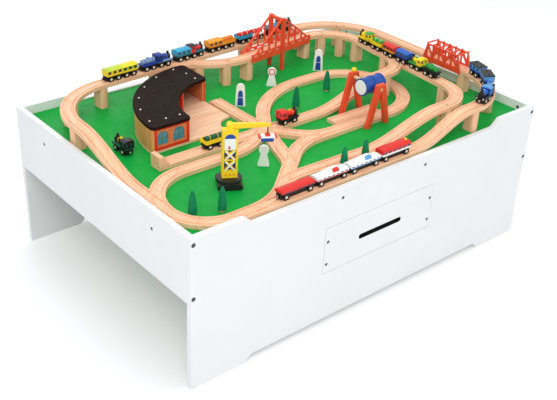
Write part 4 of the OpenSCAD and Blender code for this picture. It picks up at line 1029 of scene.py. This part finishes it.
TREE_FOOT = [(6.4, 0), (6.4, 2.2), (4.2, 3.2), (4.2, 7)]
TREE_CROWN = [
    (7.4, 4.6), (10, 5.8), (10.6, 9), (10.3, 18), (9.5, 30),
    (8.2, 42), (6.4, 53), (4.4, 61), (2.4, 65), (0.8, 66)]
TREE_ROUNDING = 0.4
FIGURE_TURN = -40
FIGURE_FRONT = -3.5
FIGURE_ROUNDING = 1.1
COAT_WIDTH = (-8.5, 8.5)
COAT_DEPTHS = (FIGURE_FRONT - 0.7, FIGURE_FRONT + 0.5)
COAT_HEIGHTS = (3, 50)
COAT_TOP_SHARE = 0.74
COAT_SHOULDER = 43
COAT_NECK_SHARE = 0.5
COAT_BELT = (28, 29.6)
COAT_ROUNDING = 0.4
DISC_RADIUS = 10
DISC_HEIGHT = 47
DISC_THICKNESS = 1.4
DISC_ROUNDING = 0.3


def make_trees():
    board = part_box("play_board")[1].z / MM
    foot = paint(turned(TREE_FOOT, sides=16), beech_block)
    crown = paint(turned(TREE_CROWN, sides=20), tree_green)
    tree = soften(joined("tree", [foot, crown]), TREE_ROUNDING)
    places = [at(*(spot.xy / MM), board) for spot in middles("trees")]
    put_on(joined("fir_trees", copies_of(tree, places)), "table", "tree_green", "trees")


def make_coat():
    """A blue panel that narrows to its shoulders, with sloping shoulders and a white belt."""
    coat = paint(block(COAT_WIDTH, COAT_DEPTHS, COAT_HEIGHTS), drum_blue)
    narrow_top(coat, COAT_TOP_SHARE)
    cut(coat, Z, COAT_SHOULDER)
    narrow_top(coat, COAT_NECK_SHARE)
    cut(coat, Z, *COAT_BELT)

    def on_belt(spot, normal):
        return on_front(spot, normal) and COAT_BELT[0] < spot.z < COAT_BELT[1]
    sink(coat, on_belt, rim=0, depth=0.3, finish=white_plastic)
    return soften(coat, COAT_ROUNDING)


def make_disc():
    """A red disc with a sunk white middle."""
    disc = rod(DISC_RADIUS, (0, FIGURE_FRONT, DISC_HEIGHT), DISC_THICKNESS, "Y", sides=32)
    sink(paint(disc, shed_red), on_front, rim=3, depth=0.4, finish=white_plastic)
    return soften(disc, DISC_ROUNDING)


def make_figures():
    """White boards that stand up: a bare one, two with a coat panel and one with a disc."""
    softened("figure_boards", white_plastic, FIGURE_ROUNDING)
    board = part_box("play_board")[1].z / MM
    spots = sorted(middles("figure_boards"), key=lambda spot: spot.x)
    near_figure, sign, far_figure = (at(*(spot.xy / MM), board, FIGURE_TURN) for spot in spots[1:])
    pieces = copies_of(make_coat(), [near_figure, far_figure]) + copies_of(make_disc(), [sign])
    put_on(joined("figure_paint", pieces), "table", "white_plastic")


# Cars, made about the middle of their axles, with X forward

WHEEL_RADIUS = 9
WHEEL_WIDTH = 4
AXLE_RADIUS = 2
GAUGE = 25
FLOOR = 10
BODY_FOOT = FLOOR - 0.5
BODY_TOP = 30
HALF_WIDTH = 15
BODY_WIDTH = (-HALF_WIDTH, HALF_WIDTH)
END_GAP = 0.2
SHORT_BODY = 52
LONG_BODY = 62
LONG_CAR = 104
COUPLING_REACH = 4
LONG_REACH = 9
COUPLING_RADIUS = 4
COUPLING_HEIGHT = 2.75
UNDERFRAME_WIDTH = (-9.5, 9.5)
UNDERFRAME_HEIGHTS = (-4.5, FLOOR)
ROOF_RISE = 4
ROOF_RADIUS = (HALF_WIDTH ** 2 + ROOF_RISE ** 2) / (2 * ROOF_RISE)
ROOF_OVERHANG = 0.7
FLAT_ROOF_WIDTH = (-HALF_WIDTH - 0.6, HALF_WIDTH + 0.6)
VENT = [(2.4, 28.4), (2.4, 30.4), (1.6, 31)]
PANE_BAY = (0.18, 0.82)
PEAK = ((-46, 44), (-12, 12), (FLOOR + 7, FLOOR + 18))
PEAK_MIDDLE = 12
PEAK_PATCH = (0, 22)
TRAM_LAMP = [(3.6, FLOOR + 16), (3.6, FLOOR + 20), (2.4, FLOOR + 22), (0.6, FLOOR + 22.6)]
TRAM_LAMP_INSET = 8
BOARD_HEIGHTS = (FLOOR - 1, FLOOR + 3)
HOOP_WIDTH = 1.6
HOOP_PROUD = 0.5
BARREL_RADIUS = 8
BARREL_HEIGHT = 19
SMOKEBOX_LENGTH = 8
SMOKEBOX_PROUD = 0.8
SMOKEBOX_FRONT = 0.5
NOSE_INSET = 3
FUNNEL = [(3.4, 25), (3, 27.5), (3, 29.5), (4.6, 32.4), (3.4, 32.4), (3, 29.8)]
FUNNEL_INSET = 4
DOME = [(3.8, 24), (3.8, 28), (3.2, 29.8), (1.8, 30.8), (0.6, 31)]
DOME_SETBACK = 2
REAR_BAND = 5
FRONT_BAND = 4
CAB_SHARE = 0.34
CAB_REAR_GAP = 0.4
CAB_EAVES = 1.5
CAB_REAR_POST = 4.5
CAB_FRONT_POST = 4
CAB_END_PANES = (3, 11)
CAB_PANE_HEIGHTS = (19, 27)
BUFFER_RADIUS = 2.6
BUFFER_LENGTH = 3
BUFFER_REACH = 0.6
BUFFER_PLACES = (-10, 10)
BUFFER_HEIGHT = FLOOR - 1
BUFFER_BEAM_DEPTH = 3
BUFFER_BEAM = ((-14, 14), (FLOOR - 4.5, FLOOR + 2))
TANK_INSET = 4
TANK_BAND_SHARE = 0.6
TANK_HEIGHT = BARREL_HEIGHT - 0.5
TANK_LID = [(4.6, 24.6), (4.6, 28.4), (5, 28.4), (5, 29.2), (3, 30)]
TUB_TOP = FLOOR + 10
TUB_WALL = 1.6
TUB_DEPTH = 5
LOG_RADIUS = 7.2
LOG_SHARE = 0.86
STRAP_PROUD = 0.4


def make_wheelset():
    """Two black wheels with pale sunk hubs on a steel axle."""
    wheel = paint(rod(WHEEL_RADIUS, (0, GAUGE / 2, 0), WHEEL_WIDTH, "Y", sides=24), wheel_black)

    def outside(spot, normal):
        return normal.y > FACING

    def in_middle(spot, normal):
        return outside(spot, normal) and spot.xz.length < 1
    sink(wheel, outside, rim=4.2, depth=0)
    sink(wheel, in_middle, rim=0.5, depth=0.8, finish=hub_cream)
    sink(wheel, in_middle, rim=2, depth=-0.9)
    soften(wheel, width=0.5, segments=1)
    other = copy_of(wheel, at(0, 0, 0, 180))
    axle = paint(rod(AXLE_RADIUS, (0, 0, 0), GAUGE, "Y", sides=12), steel_pale)
    return joined("wheelset", [wheel, other, axle])


def make_chassis(length, reach):
    """A black underframe between the wheels, with a round steel-faced coupling at each end."""
    beam = block((-length / 2, length / 2), UNDERFRAME_WIDTH, UNDERFRAME_HEIGHTS)
    soften(paint(beam, black_plastic), width=0.8)
    link = rod(COUPLING_RADIUS, (0, 0, COUPLING_HEIGHT), length + 2 * (reach - END_GAP), "X", sides=20)
    sink(paint(link, black_plastic), on_ends, rim=0.9, depth=0, finish=steel_pale)
    soften(link, width=0.5)
    return joined("chassis", [beam, link])


def arched_roof(start, end, top):
    """The cap of a wide cylinder, cut off level at the eaves and a little wider than the body."""
    roof = rod(ROOF_RADIUS, ((start + end) / 2, 0, top - ROOF_RADIUS), end - start, "X", sides=96)
    cut_off_below(roof, top - ROOF_RISE)
    wider = (HALF_WIDTH + ROOF_OVERHANG) / HALF_WIDTH
    edit(roof)
    bpy.ops.transform.resize(value=(1, wider, 1), center_override=(0, 0, 0))
    leave()
    return soften(paint(roof, third_paint), width=0.5)


def windowed(half, top, sill, lintel, count):
    """A box with a row of sunk panes along both sides and a painted skirt under them."""
    body = paint(block((-half, half), BODY_WIDTH, (BODY_FOOT, top)), first_paint)
    pitch = 2 * half / count
    edges = [-half + (bay + share) * pitch for bay in range(count) for share in PANE_BAY]
    cut(body, X, *edges)
    cut(body, Z, sill, lintel)
    paint(body, second_paint, lambda spot, normal: spot.z < sill and abs(normal.z) < 0.5)

    def pane(spot, normal):
        in_bay = PANE_BAY[0] < (spot.x + half) / pitch % 1 < PANE_BAY[1]
        return abs(normal.y) > FACING and sill < spot.z < lintel and in_bay
    sink(body, pane, rim=0.4, depth=0.8, finish=pane_dark)
    return soften(body, width=0.6)


def make_coach(length, flat=False):
    """A short coach with three windows a side, two vents, and an arched or a flat roof."""
    half = length / 2 - END_GAP
    eaves = BODY_TOP - ROOF_RISE
    body = windowed(half, top=eaves, sill=FLOOR + 5, lintel=eaves - 2.5, count=3)
    if flat:
        roof = paint(block((-half, half), FLAT_ROOF_WIDTH, (eaves, BODY_TOP - 1)), third_paint)
        soften(roof, width=0.9)
    else:
        roof = arched_roof(-half, half, BODY_TOP)
    vents = [
        soften(paint(turned(VENT, x, sides=16), third_paint), width=0.3) for x in (-half / 2, half / 2)]
    return joined("coach", [body, roof, *vents])


def make_low_coach(length, peaked=False):
    """A long low coach with seven windows a side, some with a painted peak on the roof."""
    half = length / 2 - END_GAP
    body = windowed(half, top=FLOOR + 6.5, sill=FLOOR + 1.5, lintel=FLOOR + 5.5, count=7)
    parts = [body, arched_roof(-half, half, FLOOR + 10)]
    if peaked:
        peak = paint(block(*PEAK), third_paint)
        narrow_top(peak, along=0.1, across=0.4, middle=PEAK_MIDDLE)
        start, end = PEAK_PATCH
        cut(peak, X, start, end)
        paint(peak, second_paint, lambda spot, normal: abs(normal.y) > 0.3 and start < spot.x < end)
        parts.append(soften(peak, width=0.8))
    return joined("low_coach", parts)


def make_tram(length):
    """A long car with six windows a side and a lamp at the front of its roof."""
    half = length / 2 - END_GAP
    body = windowed(half, top=FLOOR + 14, sill=FLOOR + 5, lintel=FLOOR + 12, count=6)
    lamp = soften(paint(turned(TRAM_LAMP, half - TRAM_LAMP_INSET), band_paint), width=0.3)
    return joined("tram", [body, arched_roof(-half, half, FLOOR + 18), lamp])


def running_board(length):
    half = length / 2 - END_GAP
    return soften(paint(block((-half, half), BODY_WIDTH, BOARD_HEIGHTS), second_paint), width=0.7)


def hoops(radius, height, *places):
    made = [rod(radius, (x, 0, height), HOOP_WIDTH, "X", sides=32) for x in places]
    return [soften(paint(hoop, band_paint), width=0.3) for hoop in made]


def make_smokebox(nose):
    """A black drum round the front of the boiler, with a round door that stands out."""
    middle = (nose + SMOKEBOX_FRONT - SMOKEBOX_LENGTH / 2, 0, BARREL_HEIGHT)
    smokebox = rod(BARREL_RADIUS + SMOKEBOX_PROUD, middle, SMOKEBOX_LENGTH, "X", sides=32)
    paint(smokebox, black_plastic)
    sink(smokebox, lambda spot, normal: normal.x > FACING, rim=1.8, depth=SMOKEBOX_FRONT)

    def door(spot, normal):
        in_middle = max(abs(spot.y), abs(spot.z - BARREL_HEIGHT)) < 1
        return normal.x > FACING and in_middle
    sink(smokebox, door, rim=2.4, depth=-1)
    return soften(smokebox, width=0.5)


def make_cab(rear, front):
    """A cab with a window in each side and two in each end."""
    cab = paint(block((rear + CAB_REAR_GAP, front), BODY_WIDTH, (BODY_FOOT, BODY_TOP)), first_paint)
    side = (rear + CAB_REAR_POST, front - CAB_FRONT_POST)
    inner, outer = CAB_END_PANES
    sill, lintel = CAB_PANE_HEIGHTS
    cut(cab, X, *side)
    cut(cab, Y, -outer, -inner, inner, outer)
    cut(cab, Z, sill, lintel)

    def opening(spot, normal):
        in_side = abs(normal.y) > FACING and side[0] < spot.x < side[1]
        in_end = on_ends(spot, normal) and inner < abs(spot.y) < outer
        return sill < spot.z < lintel and (in_side or in_end)
    sink(cab, opening, rim=0.4, depth=1.2, finish=pane_dark)
    return soften(cab, width=0.5)


def make_engine(length):
    """A steam engine: boiler with bands, smokebox, funnel, dome, cab, running board and buffers."""
    half = length / 2
    cab_front = -half + CAB_SHARE * length
    nose = half - NOSE_INSET
    middle = (cab_front + nose) / 2
    boiler = rod(BARREL_RADIUS, (middle, 0, BARREL_HEIGHT), nose - cab_front, "X", sides=32)
    paint(boiler, first_paint)
    funnel = soften(paint(turned(FUNNEL, nose - FUNNEL_INSET), black_plastic), width=0.3)
    dome = soften(paint(turned(DOME, middle - DOME_SETBACK), band_paint), width=0.3)
    roof = arched_roof(-half, cab_front + CAB_EAVES, BODY_TOP + ROOF_RISE)
    band_places = (cab_front + REAR_BAND, middle + FRONT_BAND)
    bands = hoops(BARREL_RADIUS + HOOP_PROUD, BARREL_HEIGHT, *band_places)
    buffers = []
    for y in BUFFER_PLACES:
        buffer = rod(BUFFER_RADIUS, (half + BUFFER_REACH, y, BUFFER_HEIGHT), BUFFER_LENGTH, "X", sides=16)
        buffers.append(soften(paint(buffer, steel_pale), width=0.5))
    beam = soften(paint(block((half - BUFFER_BEAM_DEPTH, half), *BUFFER_BEAM), second_paint), width=0.6)
    body = [boiler, running_board(length), make_smokebox(nose), funnel, dome, make_cab(-half, cab_front)]
    return joined("engine", [*body, roof, *bands, *buffers, beam])


def make_tank(length):
    """A tank car with a lid and two bands."""
    half = length / 2 - TANK_INSET
    barrel = paint(rod(BARREL_RADIUS, (0, 0, TANK_HEIGHT), 2 * half, "X", sides=32), first_paint)
    soften(barrel, width=2.4, segments=4)
    lid = soften(paint(turned(TANK_LID), third_paint), width=0.3)
    spread = half * TANK_BAND_SHARE
    bands = hoops(BARREL_RADIUS + HOOP_PROUD, TANK_HEIGHT, -spread, spread)
    return joined("tank", [barrel, running_board(length), lid, *bands])


def make_wagon(length):
    """A panelled open wagon with a strapped round load."""
    half = length / 2 - END_GAP
    tub = paint(block((-half, half), BODY_WIDTH, (BODY_FOOT, TUB_TOP)), first_paint)
    cut(tub, X, -half / 2, 0, half / 2)
    sink(tub, lambda spot, normal: abs(normal.z) < 0.1, rim=1.2, depth=0.6)
    faces(tub, on_top)
    bpy.ops.mesh.inset(thickness=TUB_WALL * MM, depth=0)
    bpy.ops.mesh.inset(thickness=0, depth=-TUB_DEPTH * MM)
    leave()
    soften(tub, width=0.4)
    load = paint(rod(LOG_RADIUS, (0, 0, TUB_TOP), LOG_SHARE * length, "X", sides=32), third_paint)
    sink(load, on_ends, rim=1.4, depth=0.8)
    soften(load, width=0.6)
    straps = hoops(LOG_RADIUS + STRAP_PROUD, TUB_TOP, -length / 5, length / 5)
    return joined("wagon", [tub, load, *straps])


# Trains: kind of body, then its paint, trim, roof or load and bands; cars are counted the way they face

REAR_CARS = [
    [("coach", "yellow", "yellow", "lime"), ("coach", "lime", "yellow", "yellow")],
    [("tank", "slate", "navy", "slate"), ("engine", "navy", "slate", "navy")],
    [("coach", "cyan", "teal", "cyan"), ("engine", "red", "teal", "black")],
    [("coach", "orange", "amber", "orange"), ("wagon", "orange", "amber", "amber")],
    [("wagon", "cyan", "white", "red"), ("tank", "red", "white", "white")],
    [("tank", "cyan", "black", "cyan"), ("engine", "forest", "cyan", "forest")],
]
INNER_CARS = [
    [("tank", "green", "black", "green")],
    [("engine", "yellow", "green", "yellow")],
    [("coach", "blue", "navy", "blue")],
    [("coach", "red", "orange", "red")],
    [("wagon", "yellow", "yellow", "green")],
    [("engine", "yellow", "yellow", "green")],
]
CORNER_CARS = [
    [("flat_coach", "sky", "blue", "black")],
    [("flat_coach", "sky", "blue", "black")],
    [("tank", "sky", "black", "blue", "blue")],
    [("engine", "blue", "black", "sky", "sky")],
]
FRONT_CARS = [
    [("low_coach", "red", "black", "red")],
    [("peaked_coach", "white", "red", "white")],
    [("peaked_coach", "white", "sky", "white")],
    [("tram", "red", "white", "red", "yellow")],
]
RED_ENGINE = [[("long_engine", "red", "black", "red", "orange")]]
BLACK_ENGINE = [[("long_engine", "black", "forest", "black", "yellow")]]
SIDING_WAGON = [[("long_wagon", "yellow", "yellow", "forest")]]
TRAINS = {
    "rear_train": dict(cars=REAR_CARS, axles=4, facing=X, chassis="long_chassis", slot="train_paint"),
    "inner_train": dict(cars=INNER_CARS, axles=2, facing=Y, chassis="short_chassis", slot="train_paint"),
    "corner_train": dict(
        cars=CORNER_CARS, axles=2, facing=-X - Y, chassis="short_chassis", slot="train_paint"),
    "front_train": dict(cars=FRONT_CARS, axles=2, facing=X, chassis="low_chassis", slot="train_paint"),
    "red_engine": dict(cars=RED_ENGINE, axles=2, facing=X, chassis="chassis", slot="engine_red"),
    "black_engine": dict(cars=BLACK_ENGINE, axles=2, facing=Y, chassis="chassis", slot="black_plastic"),
    "siding_wagon": dict(cars=SIDING_WAGON, axles=2, facing=X, chassis="chassis", slot="wagon_yellow"),
}


def make_kits():
    """One of each body, underframe and wheelset, from which the trains are copied."""
    return {
        "coach": make_coach(SHORT_BODY),
        "flat_coach": make_coach(SHORT_BODY, flat=True),
        "low_coach": make_low_coach(LONG_CAR),
        "peaked_coach": make_low_coach(LONG_CAR, peaked=True),
        "tram": make_tram(LONG_CAR),
        "engine": make_engine(SHORT_BODY),
        "long_engine": make_engine(LONG_BODY),
        "tank": make_tank(SHORT_BODY),
        "wagon": make_wagon(SHORT_BODY),
        "long_wagon": make_wagon(LONG_BODY),
        "chassis": make_chassis(LONG_BODY, COUPLING_REACH),
        "short_chassis": make_chassis(SHORT_BODY, COUPLING_REACH),
        "long_chassis": make_chassis(LONG_CAR, LONG_REACH),
        "low_chassis": make_chassis(LONG_CAR, COUPLING_REACH),
        "wheelset": make_wheelset(),
    }


def car_places(node, axles, facing):
    """Where each car stands, with its axles' places along it, from the solids of its wheels."""
    found = sorted(middles(node), key=lambda spot: spot.dot(facing))
    for first in range(0, len(found), axles):
        car = found[first:first + axles]
        along = car[-1] - car[0]
        middle = (car[0] + car[-1]) / 2
        place = Matrix.Translation(middle) @ Matrix.Rotation(atan2(along.y, along.x), 4, "Z")
        yield place, [(spot - middle).dot(along.normalized()) for spot in car]


def repainted(piece, body, trim, roof, bands=None):
    """Puts a train's own paints on a copied car; its bands take the trim's paint unless named."""
    swaps = {first_paint: body, second_paint: trim, third_paint: roof, band_paint: bands or trim}
    for index, finish in enumerate(piece.data.materials):
        piece.data.materials[index] = swaps.get(finish, finish)
    return piece


def make_train(train, kits, cars, axles, facing, chassis, slot):
    """Copies of the kits where the wheels of each car stand, and the train's wheelsets as one piece."""
    node = train if train in frame["nodes"] else train + "_cars"
    wheelsets = []
    for number, (place, spots) in enumerate(car_places(train + "_wheels", axles, facing)):
        parts = [copy_of(kits[chassis], place)]
        middle = (len(cars[number]) - 1) / 2
        for position, (kind, *paints) in enumerate(cars[number]):
            body = copy_of(kits[kind], place @ at((position - middle) * SHORT_BODY, 0, 0))
            parts.append(repainted(body, *(TRAIN_PAINTS[name] for name in paints)))
        put_on(joined(f"{train}_car_{number + 1}", parts), train, slot, node)
        for spot in spots:
            wheelsets.append(copy_of(kits["wheelset"], place @ Matrix.Translation(spot * X)))
    put_on(joined(train + "_wheelsets", wheelsets), train, "wheel_black", train + "_wheels")


def make_trains():
    kits = make_kits()
    for train, settings in TRAINS.items():
        make_train(train, kits, **settings)
    for kit in kits.values():
        bpy.data.objects.remove(kit)


make_camera()
make_studio()
make_floor()
finish_nodes()
make_table()
make_track()
make_bridges()
make_shed()
make_crane()
make_gantry()
make_trees()
make_figures()
make_trains()
